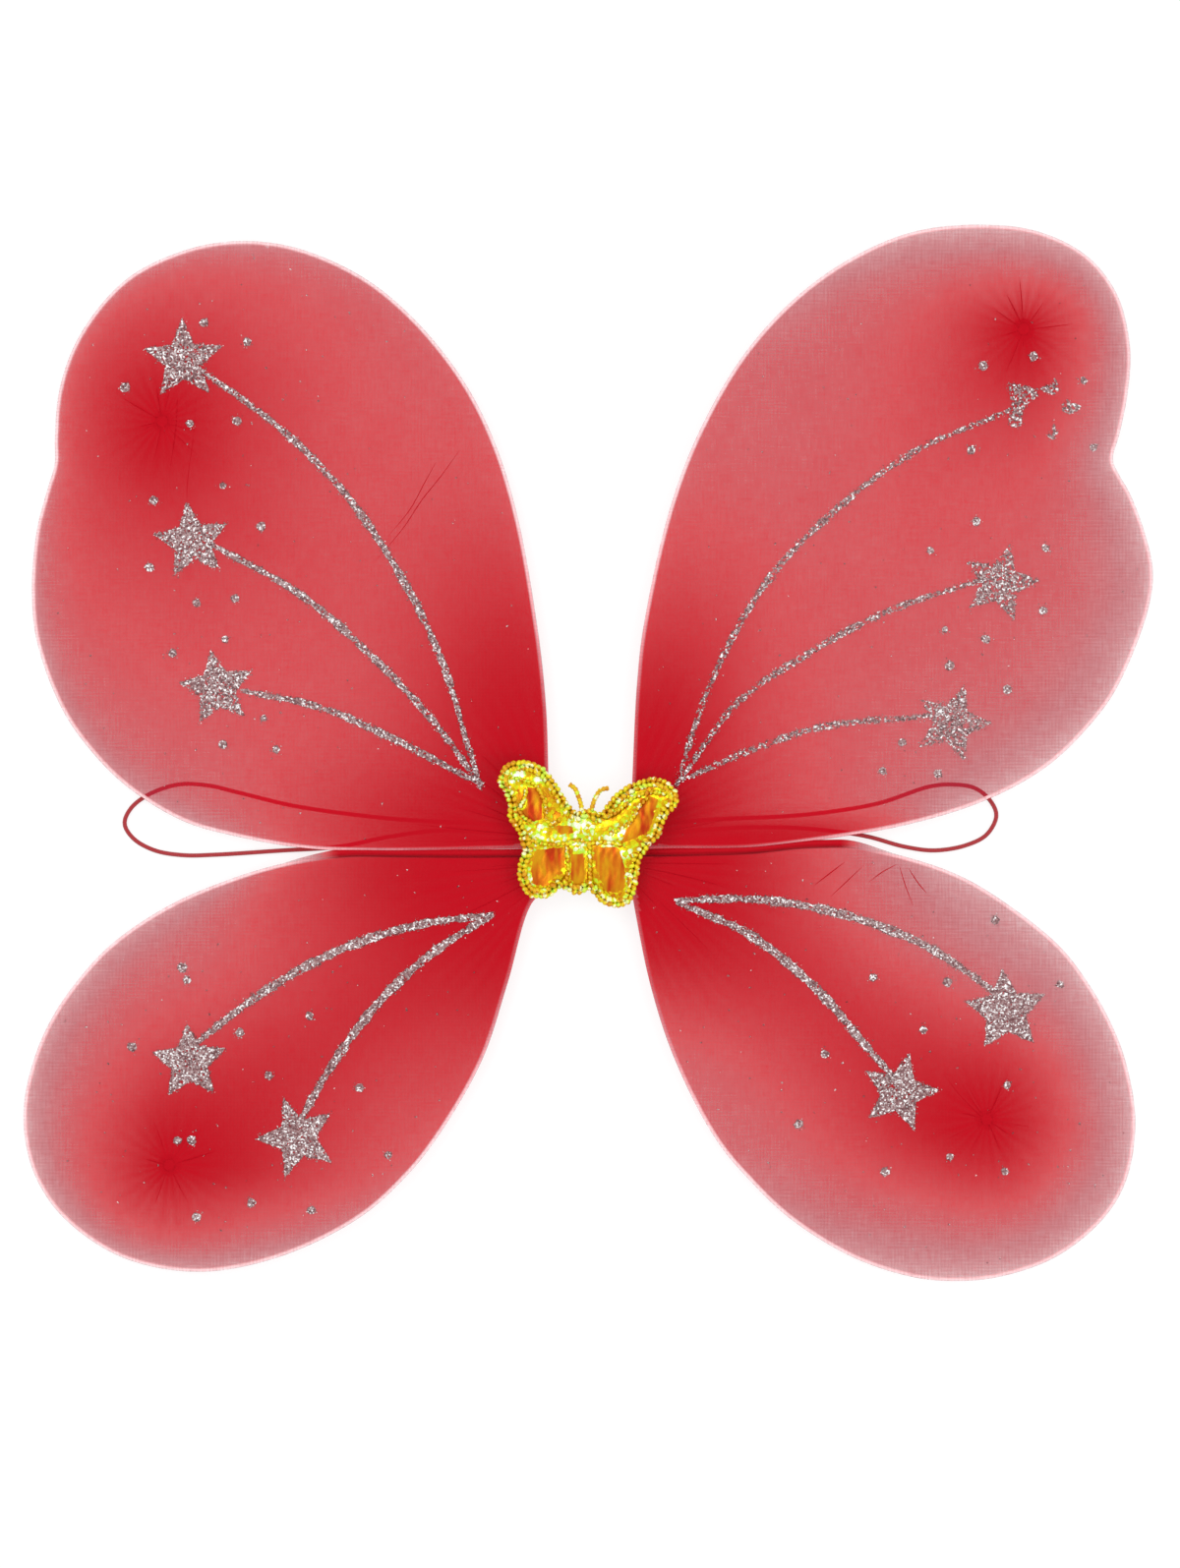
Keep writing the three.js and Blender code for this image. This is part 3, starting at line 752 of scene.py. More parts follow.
class Workpiece:
    """Points and faces gathered in millimetres for one piece."""

    def __init__(self) -> None:
        """Start with nothing."""
        self.points: list[tuple[float, float, float]] = []
        self.faces: list[tuple[int, ...]] = []
        self.uvs: dict[int, tuple[float, float]] = {}
        self.values: dict[str, dict[int, float]] = {}

    def add(self, points: Iterable[Sequence[float]], faces: Iterable[Sequence[int]]) -> int:
        """Add points and the faces between them.

        Args:
            points: the points, in millimetres.
            faces: the faces, by the numbers of these points.

        Returns:
            The number of the first point.
        """
        first = len(self.points)
        self.points.extend(tuple(float(c) for c in p) for p in points)
        self.faces.extend(tuple(first + i for i in f) for f in faces)
        return first

    def tube(
        self,
        path: np.ndarray,
        radius: Union[float, Callable[[float], float]],
        sides: int = 8,
        closed: bool = False,
    ) -> None:
        """Sweep a round section along a path.

        Args:
            path: the centre line, in millimetres.
            radius: the radius, or a function of the share of the way along.
            sides: how many sides the section has.
            closed: whether the path returns to its start.
        """
        count = len(path)
        tangents = directions(path, around=1 if closed else 0)
        normal = np.cross(tangents[0], (0, 0, 1) if abs(tangents[0][2]) < 0.9 else (1, 0, 0))
        points = []
        along = np.r_[0, np.cumsum(np.linalg.norm(np.diff(path, axis=0), axis=1))]
        first = len(self.points)
        for i in range(count):
            normal = normal - tangents[i] * (normal @ tangents[i])
            normal /= np.linalg.norm(normal)
            other = np.cross(tangents[i], normal)
            r = radius(i / (count - 1)) if callable(radius) else radius
            for k in range(sides):
                angle = 2 * math.pi * k / sides
                points.append(path[i] + r * (math.cos(angle) * normal + math.sin(angle) * other))
                self.uvs[first + i * sides + k] = (along[i] * MM, k / sides)
        faces = bands(count, sides, closed)
        if not closed:
            faces.append(tuple(reversed(range(sides))))
            faces.append(tuple((count - 1) * sides + k for k in range(sides)))
        self.add(points, faces)

    def bead(self, centre: np.ndarray, long: np.ndarray, reach: Sequence[float], sides: int = 7) -> None:
        """Add one oval bead.

        Args:
            centre: its middle.
            long: the direction of its length.
            reach: half its length, width and height.
            sides: how many sides it has round its length.
        """
        long = long / np.linalg.norm(long)
        up = np.array((0.0, 0.0, 1.0))
        side = np.cross(up, long)
        side /= np.linalg.norm(side)
        up = np.cross(long, side)
        rings = 4
        points = [centre - long * reach[0]]
        for i in range(1, rings + 1):
            angle = math.pi * i / (rings + 1)
            for k in range(sides):
                turn = 2 * math.pi * k / sides
                points.append(
                    centre
                    - long * reach[0] * math.cos(angle)
                    + math.sin(angle)
                    * (side * reach[1] * math.cos(turn) + up * reach[2] * math.sin(turn))
                )
        points.append(centre + long * reach[0])
        last = len(points) - 1
        faces = []
        for k in range(sides):
            m = (k + 1) % sides
            faces.append((0, 1 + m, 1 + k))
            for i in range(rings - 1):
                a, b = 1 + i * sides, 1 + (i + 1) * sides
                faces.append((a + k, a + m, b + m, b + k))
            faces.append((last, 1 + (rings - 1) * sides + k, 1 + (rings - 1) * sides + m))
        self.add(points, faces)

    def store(self, name: str, first: int, values: Iterable[float]) -> None:
        """Keep a value for each of a run of points."""
        self.values.setdefault(name, {}).update(
            {first + i: float(v) for i, v in enumerate(values)}
        )

    def piece(self, name: str, material: bpy.types.Material, smooth: bool = True) -> bpy.types.Object:
        """Turn what was gathered into an object.

        Args:
            name: the piece's name.
            material: its material.
            smooth: whether its faces are shaded smooth.

        Returns:
            The object, in metres.
        """
        mesh = bpy.data.meshes.new(name)
        mesh.from_pydata([tuple(c * MM for c in p) for p in self.points], [], self.faces)
        mesh.materials.append(material)
        mesh.shade_smooth() if smooth else mesh.shade_flat()
        if self.uvs:
            layer = mesh.uv_layers.new(name="run")
            for loop in mesh.loops:
                layer.data[loop.index].uv = self.uvs.get(loop.vertex_index, (0.0, 0.0))
        for key, values in self.values.items():
            stored = mesh.attributes.new(key, "FLOAT", "POINT")
            for index, value in values.items():
                stored.data[index].value = value
        mesh.validate()
        obj = bpy.data.objects.new(name, mesh)
        bpy.context.scene.collection.objects.link(obj)
        return obj


# ---------------------------------------------------------------- studio


@dataclass
class Studio:
    """The table, the soft lights and the camera, which looks straight down."""

    finishes: Finishes
    view_height: float = 654.0
    centre_y: float = 23.6
    lens: float = 85.0
    sensor: float = 36.0
    wings_height: float = 0.006
    table: float = 24000.0
    table_drop: float = 0.1
    wall: Colour = (0.62, 0.62, 0.63)
    ceiling: Colour = (1.0, 1.0, 1.0)
    wall_top: float = 0.8
    sky: float = 0.95

    def build(self) -> None:
        """Make the camera, then the table and the lights."""
        self._camera()
        self._table()
        self._sky()
        self._light("key", (-0.9, 0.9, 1.5), 1.2, 8.0)
        self._light("fill", (1.1, -0.4, 1.3), 0.8, 4.0)

    def _camera(self) -> None:
        """Make the camera."""
        camera = bpy.data.cameras.new("camera")
        camera.lens = self.lens
        camera.sensor_width = self.sensor
        camera.clip_end = 100
        obj = bpy.data.objects.new("camera", camera)
        away = self.view_height * self.lens / self.sensor * MM
        obj.location = (0, self.centre_y * MM, away + self.wings_height)
        bpy.context.scene.collection.objects.link(obj)
        bpy.context.scene.camera = obj
        bpy.context.scene.view_settings.view_transform = "Standard"

    def _table(self) -> None:
        """Make the table top."""
        half = self.table / 2
        corners = ((-half, -half), (half, -half), (half, half), (-half, half))
        work = Workpiece()
        work.add([(x, y, -self.table_drop) for x, y in corners], [(0, 1, 2, 3)])
        work.piece("table_top", self.finishes.floor)

    def _sky(self) -> None:
        """Give the room an even light that falls off towards its walls."""
        world = bpy.data.worlds.new("room")
        room = Recipe(world)
        _, _, up = room.split(room.node("ShaderNodeTexCoord", output="Generated"))
        shade = up.colours((0.0, self.wall), (self.wall_top, self.ceiling))
        light = room.node("ShaderNodeBackground", {}, {"Color": shade, "Strength": self.sky})
        room.node("ShaderNodeOutputWorld", {}, {"Surface": light})
        bpy.context.scene.world = world

    def _light(self, name: str, place: tuple[float, float, float], size: float, power: float) -> None:
        """Make one soft box that faces the wings."""
        light = bpy.data.lights.new(name, "AREA")
        light.shape = "SQUARE"
        light.size = size
        light.energy = power
        obj = bpy.data.objects.new(name, light)
        obj.location = place
        obj.rotation_euler = (-Vector(place)).to_track_quat("-Z", "Y").to_euler()
        bpy.context.scene.collection.objects.link(obj)


# ---------------------------------------------------------------- the middle's levels


@dataclass(frozen=True)
class Stack:
    """Heights and sizes that the pieces of the middle share, in millimetres."""

    hinge_x: float = 14.0
    pad: float = 1.2
    knot_bottom: float = 1.5
    knot_height: float = 4.0
    knot_x: float = 9.3
    knot_y: float = 3.2
    tape_bottom: float = 5.8
    wire_z: float = 7.6
    tape_top: float = 9.4
    patch_z: float = 9.7
    wire_radius: float = 0.7
    droop: float = math.radians(0.9)


STACK = Stack()


# ---------------------------------------------------------------- shoulder elastics


@dataclass
class ShoulderElastic:
    """A loop of round elastic that leaves its knot, lies behind the wings and comes back."""

    side: Side
    route: Sequence[Flat]
    finishes: Finishes
    radius: float = 0.9
    apart: float = 1.1
    floor: float = 0.1
    settle: float = 0.45
    start: float = 13.3

    def path(self) -> np.ndarray:
        """The elastic's centre line, in millimetres."""
        high = STACK.knot_bottom + STACK.knot_height / 2
        low = self.floor + self.radius
        sign, y = self.side.value, STACK.knot_y

        def leg(away: float, drop: float, across: float) -> tuple[float, float, float]:
            """A point of one of the two strands beside the knot."""
            return (sign * (self.start + away), y + across, high - drop)

        ends = (0, len(self.route) - 1)
        lying = [
            (x, across, low + (self.settle if i in ends else 0.0))
            for i, (x, across) in enumerate(self.route)
        ]
        points = [leg(0, 0, self.apart), leg(3, 0.5, self.apart + 0.1), *lying]
        points += [leg(3, 0.5, -self.apart - 0.1), leg(0, 0, -self.apart)]
        return respaced(smooth_line(points, 16), 1.6)

    def build(self) -> bpy.types.Object:
        """Make the elastic and say how long it is."""
        name = self.side.name.lower()
        line = self.path()
        work = Workpiece()
        work.tube(line, self.radius, 10)
        piece = work.piece(f"{name}_shoulder_elastic", self.finishes.elastic)
        body = Body.LEFT_STRAP if self.side is Side.LEFT else Body.RIGHT_STRAP
        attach(piece, body.value)
        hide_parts(f"{name}_strap")
        tuple(line[0] * MM)
        [tuple(p * MM) for p in line]
        log.info("%s elastic, %.0f mm long", name, length_of(line))
        return piece


# ---------------------------------------------------------------- wings


@dataclass(frozen=True)
class Star:
    """One glitter star: its middle, and how far it is turned, counter-clockwise in degrees."""

    x: float
    y: float
    turn: float
    tip: float = 16.9
    waist: float = 7.9


@dataclass(frozen=True)
class Gather:
    """Where a sleeve's far end is drawn together behind the wing, and how its dense patch spreads.

    Attributes:
        x: how far out it is.
        y: how far up it is.
        out: the patch's reach outwards.
        back: its reach towards the middle.
        up: its reach upwards.
        down: its reach downwards.
        ridge: how dense the net is between it and the root.
    """

    x: float
    y: float
    out: float
    back: float
    up: float
    down: float
    ridge: float


@dataclass(frozen=True)
class Drape:
    """How a sleeve's net opens out from its root.

    Attributes:
        level: how pale it gets where it is flat, out of 255.
        reach: how far the root's density reaches through the middle of the wing.
        inner: how much further it reaches beside the wing's inner edge.
        shared: how much further it reaches beside the other wing on its side.
        narrow: how narrow that last band is, in degrees.
        pale_edge: how much paler the net is beside the wire.
    """

    level: float
    reach: float
    inner: float
    shared: float
    narrow: float
    pale_edge: float


@dataclass(frozen=True)
class Pleats:
    """The pleats and sharp folds that spread from one place, in millimetres.

    Attributes:
        turns: how many crests and valleys there are all round.
        first: the first ring's radius.
        growth: how much bigger each ring is than the last.
        last: the radius where the pleats end.
        folds: how many sharp folds there are.
        folds_start: how far out the folds start.
        shortest: how long the shortest fold is.
        longest: how long the longest one is.
    """

    turns: int
    first: float
    growth: float
    last: float
    folds: int
    folds_start: float
    shortest: float
    longest: float


ROOT_PLEATS = Pleats(128, 6.5, 1.15, 74.0, 46, 12.0, 10.0, 52.0)
TIED_PLEATS = Pleats(44, 2.4, 1.2, 27.0, 9, 2.8, 4.0, 19.0)


@dataclass(frozen=True)
class Openness:
    """How open the net is, in what the four wings share, in millimetres and degrees.

    Attributes:
        root_x: how far out the root's density spreads from.
        tied: how dense the net is at its tied end; tied_fall is how sharply it opens from there.
        tip_start: how far from the root the pale edge starts; tip_run is how soon it is full.
        outer_start: how far out from the middle line it starts, and the same for outer_run.
        full: the highest level, out of which the others are counted.
        wire_start: how far from the root the net on the wire starts to open.
        crest: how much a pleat's crest adds, as a share, and its valley takes away, which paints light
            on the crests and shade in the valleys; crest_step is for where the net is closed.
    """

    root_x: float = 16.0
    inner_angle: float = 78.0
    inner_width: float = 26.0
    root_power: float = 2.2
    tied: float = 0.995
    tied_fall: float = 1.05
    ridge_width: float = 34.0
    tip_start: float = 60.0
    tip_run: float = 90.0
    tip_power: float = 1.5
    outer_start: float = 45.0
    outer_run: float = 100.0
    outer_least: float = 0.1
    line_pale: float = 26.0
    line_width: float = 6.0
    edge_width: float = 26.0
    full: float = 255.0
    most: float = 0.62
    power: float = 2.2
    wire_start: float = 24.0
    wire_run: float = 80.0
    wire_power: float = 1.4
    wire_least: float = 0.13
    # bunched is nearly closed: partly the density of the bunched net, partly painted shadow under the
    # upper wing's edge.
    bunched: float = 0.001
    fold: float = 0.012
    crest: float = 0.35
    crest_step: float = 0.008
    root_pleats: float = 30.0
    tied_pleats: float = 11.0
    rim_pleats: float = 4.0


OPEN = Openness()
GLITTER_EDGE = 0.9


@dataclass(frozen=True)
class Motif:
    """The glitter of one wing.

    Attributes:
        stars: the whole stars.
        trails: the middle line of each trail.
        dots: where the dots are.
        width: half of a trail's width where it is widest.
        shards: what is left of a star that has flaked.
        worn: the share of the flakes that has come off.
    """

    stars: Sequence[Star]
    trails: Sequence[Sequence[Flat]]
    dots: Sequence[Flat]
    width: float = 1.45
    shards: Sequence[Sequence[Flat]] = ()
    worn: float = 0.06


@dataclass
class Wing:
    """One wing: its bent wire, net sleeve, tied end and glitter. Lengths are in millimetres.

    Attributes:
        outline: the wire's free part, as shares of the span past the hinge and of the rise past
            the leg beside the other wing.
        legs: the heights of the wire's two legs at the hinge.
        bend: how the leg beside the middle line turns up, from its end.
        bunched: how far the bunched net stands out from the wire.
        bunched_run: how far out it starts, is full, starts to end and has ended.
    """

    side: Side
    level: Level
    span: float
    rise: float
    outline: Sequence[Flat]
    gather: Gather
    drape: Drape
    motif: Motif
    finishes: Finishes
    seed: int
    legs: tuple[float, float] = (0.0, 0.0)
    bend: Sequence[Flat] = ((1.1, 0.2), (2.5, 1.8), (3.4, 5.6))
    slit: float = 0.15
    net_radius: float = 1.02
    sleeve_end: float = 10.6
    sag: float = 0.25
    slack_run: float = 12.0
    back_slack: float = 0.5
    pull_run: float = 7.0
    front_pull: float = 0.9
    back_pull: float = 1.3
    front_pleat: float = 0.28
    back_pleat: float = 0.45
    mesh: float = 3.4
    bare: float = 0.6
    bunched: float = 2.3
    bunched_run: tuple[float, float, float, float] = (10.7, 12.7, 106.0, 128.0)
    creases: Sequence[Sequence[Flat]] = ()

    @property
    def name(self) -> str:
        """The wing's name, such as upper_left."""
        return f"{self.level.name.lower()}_{self.side.name.lower()}"

    @property
    def body(self) -> str:
        """The body that the wing moves with."""
        return f"{self.name}_wing"

    @property
    def root(self) -> np.ndarray:
        """The point that the root's pleats spread from."""
        return np.array((STACK.hinge_x - 3, sum(self.legs) / 2))

    @property
    def tied_at(self) -> np.ndarray:
        """The point where the sleeve's far end is tied."""
        return np.array((self.gather.x, self.gather.y))

    @property
    def pleated(self) -> tuple[tuple[np.ndarray, Pleats], ...]:
        """The two places that pleats spread from, each with its pleats."""
        return (self.root, ROOT_PLEATS), (self.tied_at, TIED_PLEATS)

    def centre_line(self) -> np.ndarray:
        """The wire's flat centre line, from the hinge out, round and back."""
        first, last = self.legs
        upper = self.level is Level.UPPER
        up = self.level.value
        shared = last if upper else first
        start = STACK.hinge_x + self.slit
        free = [
            (
                STACK.hinge_x + out * (self.span - STACK.hinge_x),
                shared + up * away * (self.rise - up * shared),
            )
            for out, away in self.outline
        ]
        bend = [(start + x, (first if upper else last) + up * y) for x, y in self.bend]
        if upper:
            points = [(start, first), *bend, *free, (start, last)]
        else:
            points = [(start, first), *free, *reversed(bend), (start, last)]
        return smooth_line(points, 10)

    def place(self, x: float, y: float, z: float) -> tuple[float, float, float]:
        """Put a point of the flat wing in its place.

        Args:
            x: how far out from the middle it is.
            y: how far up it is.
            z: how far in front of the wire's centre it is.

        Returns:
            The point in the wings' frame, in millimetres.
        """
        past = x - STACK.hinge_x
        sign = self.side.value
        if past <= 0:
            return (sign * x, y, STACK.wire_z + z)
        tilt = STACK.droop
        out = STACK.hinge_x + past * math.cos(tilt) + z * math.sin(tilt)
        return (sign * out, y, STACK.wire_z - past * math.sin(tilt) + z * math.cos(tilt))

    def wound(self, face: Sequence[int]) -> tuple[int, ...]:
        """A face in the order that keeps it facing the front on either side."""
        return tuple(face) if self.side is Side.RIGHT else tuple(reversed(face))

    # ------------------------------------------------------------ wire

    def build_wire(self) -> bpy.types.Object:
        """Make the wire, from the middle round the wing and back to the middle."""
        line = self.centre_line()
        flat = np.vstack([[(0, self.legs[0])], line, [(0, self.legs[1])]])
        path = respaced(np.array([self.place(x, y, 0) for x, y in flat]), 1.5)
        work = Workpiece()
        work.tube(path, STACK.wire_radius, 10)
        piece = work.piece(f"{self.name}_bent_wire", self.finishes.wire)
        crossing = "top" if self.side is Side.LEFT else "bottom"
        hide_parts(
            f"{self.name}_wire", f"{self.level.name.lower()}_wire_crossing_{crossing}"
        )
        self._flex(piece)
        log.info("%s wire", self.name)
        return piece

    def _flex(self, piece: bpy.types.Object) -> None:
        """Bake a piece's place into its points."""
        sign = self.side.value
        self.body
        sign * 0.012
        sign * 0.036
        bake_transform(piece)

    # ------------------------------------------------------------ net

    def sheer(self, points: np.ndarray, rim: np.ndarray) -> np.ndarray:
        """How open the net is, from 0 where it is gathered to 1 where it is stretched.

        Args:
            points: flat points of the wing.
            rim: the distance of each from the wire.

        Returns:
            One value for each point.
        """
        g, d, o = self.gather, self.drape, OPEN
        root = np.array((o.root_x, sum(self.legs) / 2))
        away = points - root
        reach = np.linalg.norm(away, axis=1)
        angle = np.degrees(np.arctan2(away[:, 1] * self.level.value, away[:, 0]))
        spread = d.reach + d.inner * np.exp(-(((angle - o.inner_angle) / o.inner_width) ** 2))
        spread += d.shared * np.exp(-((np.maximum(angle, 0) / d.narrow) ** 2))
        from_root = 1 - np.exp(-((reach / spread) ** o.root_power))
        dx, dy = points[:, 0] - g.x, points[:, 1] - g.y
        wide = np.where(dx > 0, g.out, g.back)
        tall = np.where(dy > 0, g.up, g.down)
        oval = np.sqrt((dx / wide) ** 2 + (dy / tall) ** 2)
        from_gather = 1 - o.tied * np.exp(-o.tied_fall * oval)
        line = self.tied_at - root
        share = np.clip((away @ line) / (line @ line), 0, 1)
        off = np.linalg.norm(away - share[:, None] * line, axis=1)
        from_ridge = 1 - g.ridge * np.exp(-((off / o.ridge_width) ** 2))
        shade = d.level * from_root * from_gather * from_ridge
        tipward = np.clip((reach - o.tip_start) / o.tip_run, 0, 1) ** o.tip_power
        outer = np.clip((points[:, 0] - o.outer_start) / o.outer_run, o.outer_least, 1)
        pale = o.line_pale * np.exp(-rim / o.line_width)
        pale += d.pale_edge * np.exp(-rim / o.edge_width)
        shade += tipward * outer * pale * from_gather
        return np.clip(shade / o.full, 0, o.most) ** o.power

    def height(self, points: np.ndarray, rim: np.ndarray, layer: Layer) -> np.ndarray:
        """How far a layer of net stands from the wire's centre, before its pleats.

        Args:
            points: flat points of the wing.
            rim: the distance of each from the wire.
            layer: the front layer or the back one.

        Returns:
            One height for each point, in millimetres.
        """
        slack = self.sag * (1 - np.exp(-rim / self.slack_run))
        pull = np.exp(-np.linalg.norm(points - self.tied_at, axis=1) / self.pull_run)
        if layer is Layer.FRONT:
            return self.net_radius - slack - self.front_pull * pull
        return -self.net_radius - self.back_slack * slack - self.back_pull * pull

    def _fan(
        self, centre: np.ndarray, pleats: Pleats, rng: np.random.Generator
    ) -> tuple[np.ndarray, np.ndarray]:
        """Points on the crests and valleys of pleats that spread from one place.

        Args:
            centre: the place.
            pleats: the pleats.
            rng: the source of the unevenness.

        Returns:
            The points, and for each how far it is a crest, from -1 to 1.
        """
        turns = pleats.turns
        depth = rng.uniform(0.35, 1.0, turns) * np.where(np.arange(turns) % 2, 1, -1)
        jog = rng.uniform(-0.25, 0.25, turns)
        points, crest = [], []
        radius = pleats.first
        while radius < pleats.last:
            for k in range(turns):
                angle = 2 * math.pi * (k + jog[k]) / turns
                points.append(
                    (centre[0] + radius * math.cos(angle), centre[1] + radius * math.sin(angle))
                )
                crest.append(depth[k])
            radius *= pleats.growth
        return np.array(points), np.array(crest)

    def _net_points(self, rim_line: np.ndarray) -> tuple[np.ndarray, np.ndarray]:
        """The inner points of a layer and how far each is a crest of a pleat.

        Args:
            rim_line: the sleeve's outline.

        Returns:
            The points and the crests.
        """
        rng = np.random.default_rng(self.seed)
        fans = [self._fan(centre, pleats, rng) for centre, pleats in self.pleated]
        step, row_step, past_pleats = self.mesh, self.mesh * 0.866, 1.5
        low, high = rim_line.min(0), rim_line.max(0)
        rows = [
            (x + (0.5 * step if j % 2 else 0.0), y)
            for j, y in enumerate(np.arange(low[1], high[1], row_step))
            for x in np.arange(low[0], high[0], step)
        ]
        grid = np.array(rows) + rng.uniform(-0.25, 0.25, (len(rows), 2))
        for centre, pleats in self.pleated:
            grid = grid[np.linalg.norm(grid - centre, axis=1) > pleats.last + past_pleats]
        kept = []
        for points, crest in ((grid, np.zeros(len(grid))), *fans):
            keep = is_inside(points, rim_line)
            points, crest = points[keep], crest[keep]
            rim = rim_distance(points, rim_line)
            room = np.clip(np.linalg.norm(points - self.root, axis=1) * 0.03, 0.45, 1.9)
            kept.append((points[rim > room], crest[rim > room]))
        beside = self._beside(rim_line, 0.8)
        beside = beside[is_inside(beside, rim_line)]
        kept.append((beside, np.zeros(len(beside))))
        return np.vstack([p for p, _ in kept]), np.concatenate([c for _, c in kept])

    def _rim_step(self, place: np.ndarray) -> float:
        """The distance between points of the sleeve's outline at a place."""
        return float(np.clip(0.03 * np.linalg.norm(place - self.root), 0.7, 2.5))

    def build_net(self) -> bpy.types.Object:
        """Make the sleeve: a front and a back layer, joined round the wire and open at the root."""
        line = self.centre_line()
        ends = [(self.sleeve_end, leg) for leg in self.legs]
        flat = np.vstack([ends[:1], line, ends[1:]])
        rim_line = respaced(flat, self._rim_step)
        inner, crest = self._net_points(rim_line)
        points, faces, count = filled(rim_line, inner)
        crest = np.r_[np.zeros(count), crest][: len(points)]
        rim = rim_distance(points, rim_line)
        rim[:count] = 0
        sheer = self.sheer(points, rim)
        from_root = np.linalg.norm(rim_line - self.root, axis=1)
        opened = np.clip((from_root - OPEN.wire_start) / OPEN.wire_run, 0, 1) ** OPEN.wire_power
        bare = np.maximum(self.bare * opened, OPEN.wire_least)
        beside = self._loose(rim_line) / self.bunched
        # Beside the upper wing the lower wing's bunched net shows dark: partly the dense bunched net,
        # partly painted shadow under the upper wing's edge.
        sheer[:count] = bare * (1 - beside) + OPEN.bunched * beside
        near_root = np.exp(-np.linalg.norm(points - self.root, axis=1) / OPEN.root_pleats)
        near = near_root + np.exp(-np.linalg.norm(points - self.tied_at, axis=1) / OPEN.tied_pleats)
        pleat = crest * np.clip(rim / OPEN.rim_pleats, 0, 1)
        # Painted light and shade on the pleats: crests are made more open and lighter, valleys closer
        # and darker.
        shaded = sheer * (1 + OPEN.crest * pleat * np.clip(2 * near, 0, 1))
        shaded = np.clip(shaded + OPEN.crest_step * pleat * near, 0, 1)
        work = Workpiece()
        tops = {}
        for layer in Layer:
            depth = self.back_pleat if layer is Layer.BACK else self.front_pleat
            z = self.height(points, rim, layer) + depth * pleat * near
            laid = [self.place(x, y, h) for (x, y), h in zip(points, z)]
            order = faces if layer is Layer.FRONT else [tuple(reversed(f)) for f in faces]
            first = work.add(laid, [self.wound(f) for f in order])
            work.store("sheer", first, shaded)
            tops[layer] = first
        self._wrap(work, rim_line, sheer[:count], tops)
        self._add_folds(work, rim_line)
        piece = work.piece(f"{self.name}_net_sleeve", self.finishes.net)
        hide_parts(f"{self.name}_net")
        self._flex(piece)
        area = abs(turning(rim_line)) / 2
        f"{self.name}_bent_wire"
        log.info("%s net, %d points", self.name, len(work.points))
        return piece

    def _loose(self, rim_line: np.ndarray) -> np.ndarray:
        """How far the lower wings' bunched net stands out from the wire, towards the upper wing."""
        if self.level is Level.UPPER:
            return np.zeros(len(rim_line))
        beside_upper = rim_line[:, 1] > self.legs[0] - 4
        start, full, fading, end = self.bunched_run
        fade = np.clip((end - rim_line[:, 0]) / (end - fading), 0, 1)
        fade = fade * np.clip((rim_line[:, 0] - start) / (full - start), 0, 1)
        return self.bunched * fade * beside_upper

    def _folds(self, rng: np.random.Generator) -> list[np.ndarray]:
        """The sharp folds that spread from the root and the gather, and the loose creases."""
        lines = []
        for centre, pleats in self.pleated:
            first = pleats.folds_start
            for k in range(pleats.folds):
                angle = 2 * math.pi * (k + rng.uniform(-0.4, 0.4)) / pleats.folds
                reach = first + rng.uniform(pleats.shortest, pleats.longest)
                sway = rng.uniform(-0.05, 0.05)
                steps = np.linspace(first, reach, 12)
                turns = angle + sway * (steps / reach) ** 2
                lines.append(
                    centre + np.stack([steps * np.cos(turns), steps * np.sin(turns)], axis=1)
                )
        lines += [smooth_line(line, 5) for line in self.creases]
        return lines

    def _add_folds(self, work: Workpiece, rim_line: np.ndarray) -> None:
        """Lay each sharp fold just under the front layer, as a thin tube of dense net: its dark line is
        partly the doubled net of the fold and partly painted crease shade.

        Args:
            work: the sleeve so far.
            rim_line: the wire's flat centre line.
        """
        rng = np.random.default_rng(self.seed + 7)
        fewest, clear, under = 5, 1.2, 0.05

        def swell(share: float) -> float:
            """How thick a fold is at a share of its length, next to its middle."""
            return math.sin(math.pi * min(0.98, max(share, 0.04))) ** 0.6

        for line in self._folds(rng):
            line = line[is_inside(line, rim_line)]
            if len(line) < fewest:
                continue
            rim = rim_distance(line, rim_line)
            if rim.min() < clear:
                continue
            z = self.height(line, rim, Layer.FRONT) - under
            path = np.array([self.place(x, y, h) for (x, y), h in zip(line, z)])
            width = rng.uniform(0.12, 0.26)
            first = len(work.points)
            work.tube(path, lambda s, w=width: w * swell(s), 4)
            work.store("sheer", first, np.full(len(work.points) - first, OPEN.fold))

    def _outward(self, rim_line: np.ndarray) -> np.ndarray:
        """The direction out of the wing at each point of its outline."""
        out = right_of(directions(rim_line))
        return out if turning(rim_line) > 0 else -out

    def _beside(self, rim_line: np.ndarray, inset: float) -> np.ndarray:
        """Points beside the wire, on the inside, which end the pale line that it makes."""
        room = np.linalg.norm(rim_line - self.root, axis=1) > 22
        return (rim_line - inset * self._outward(rim_line))[room]

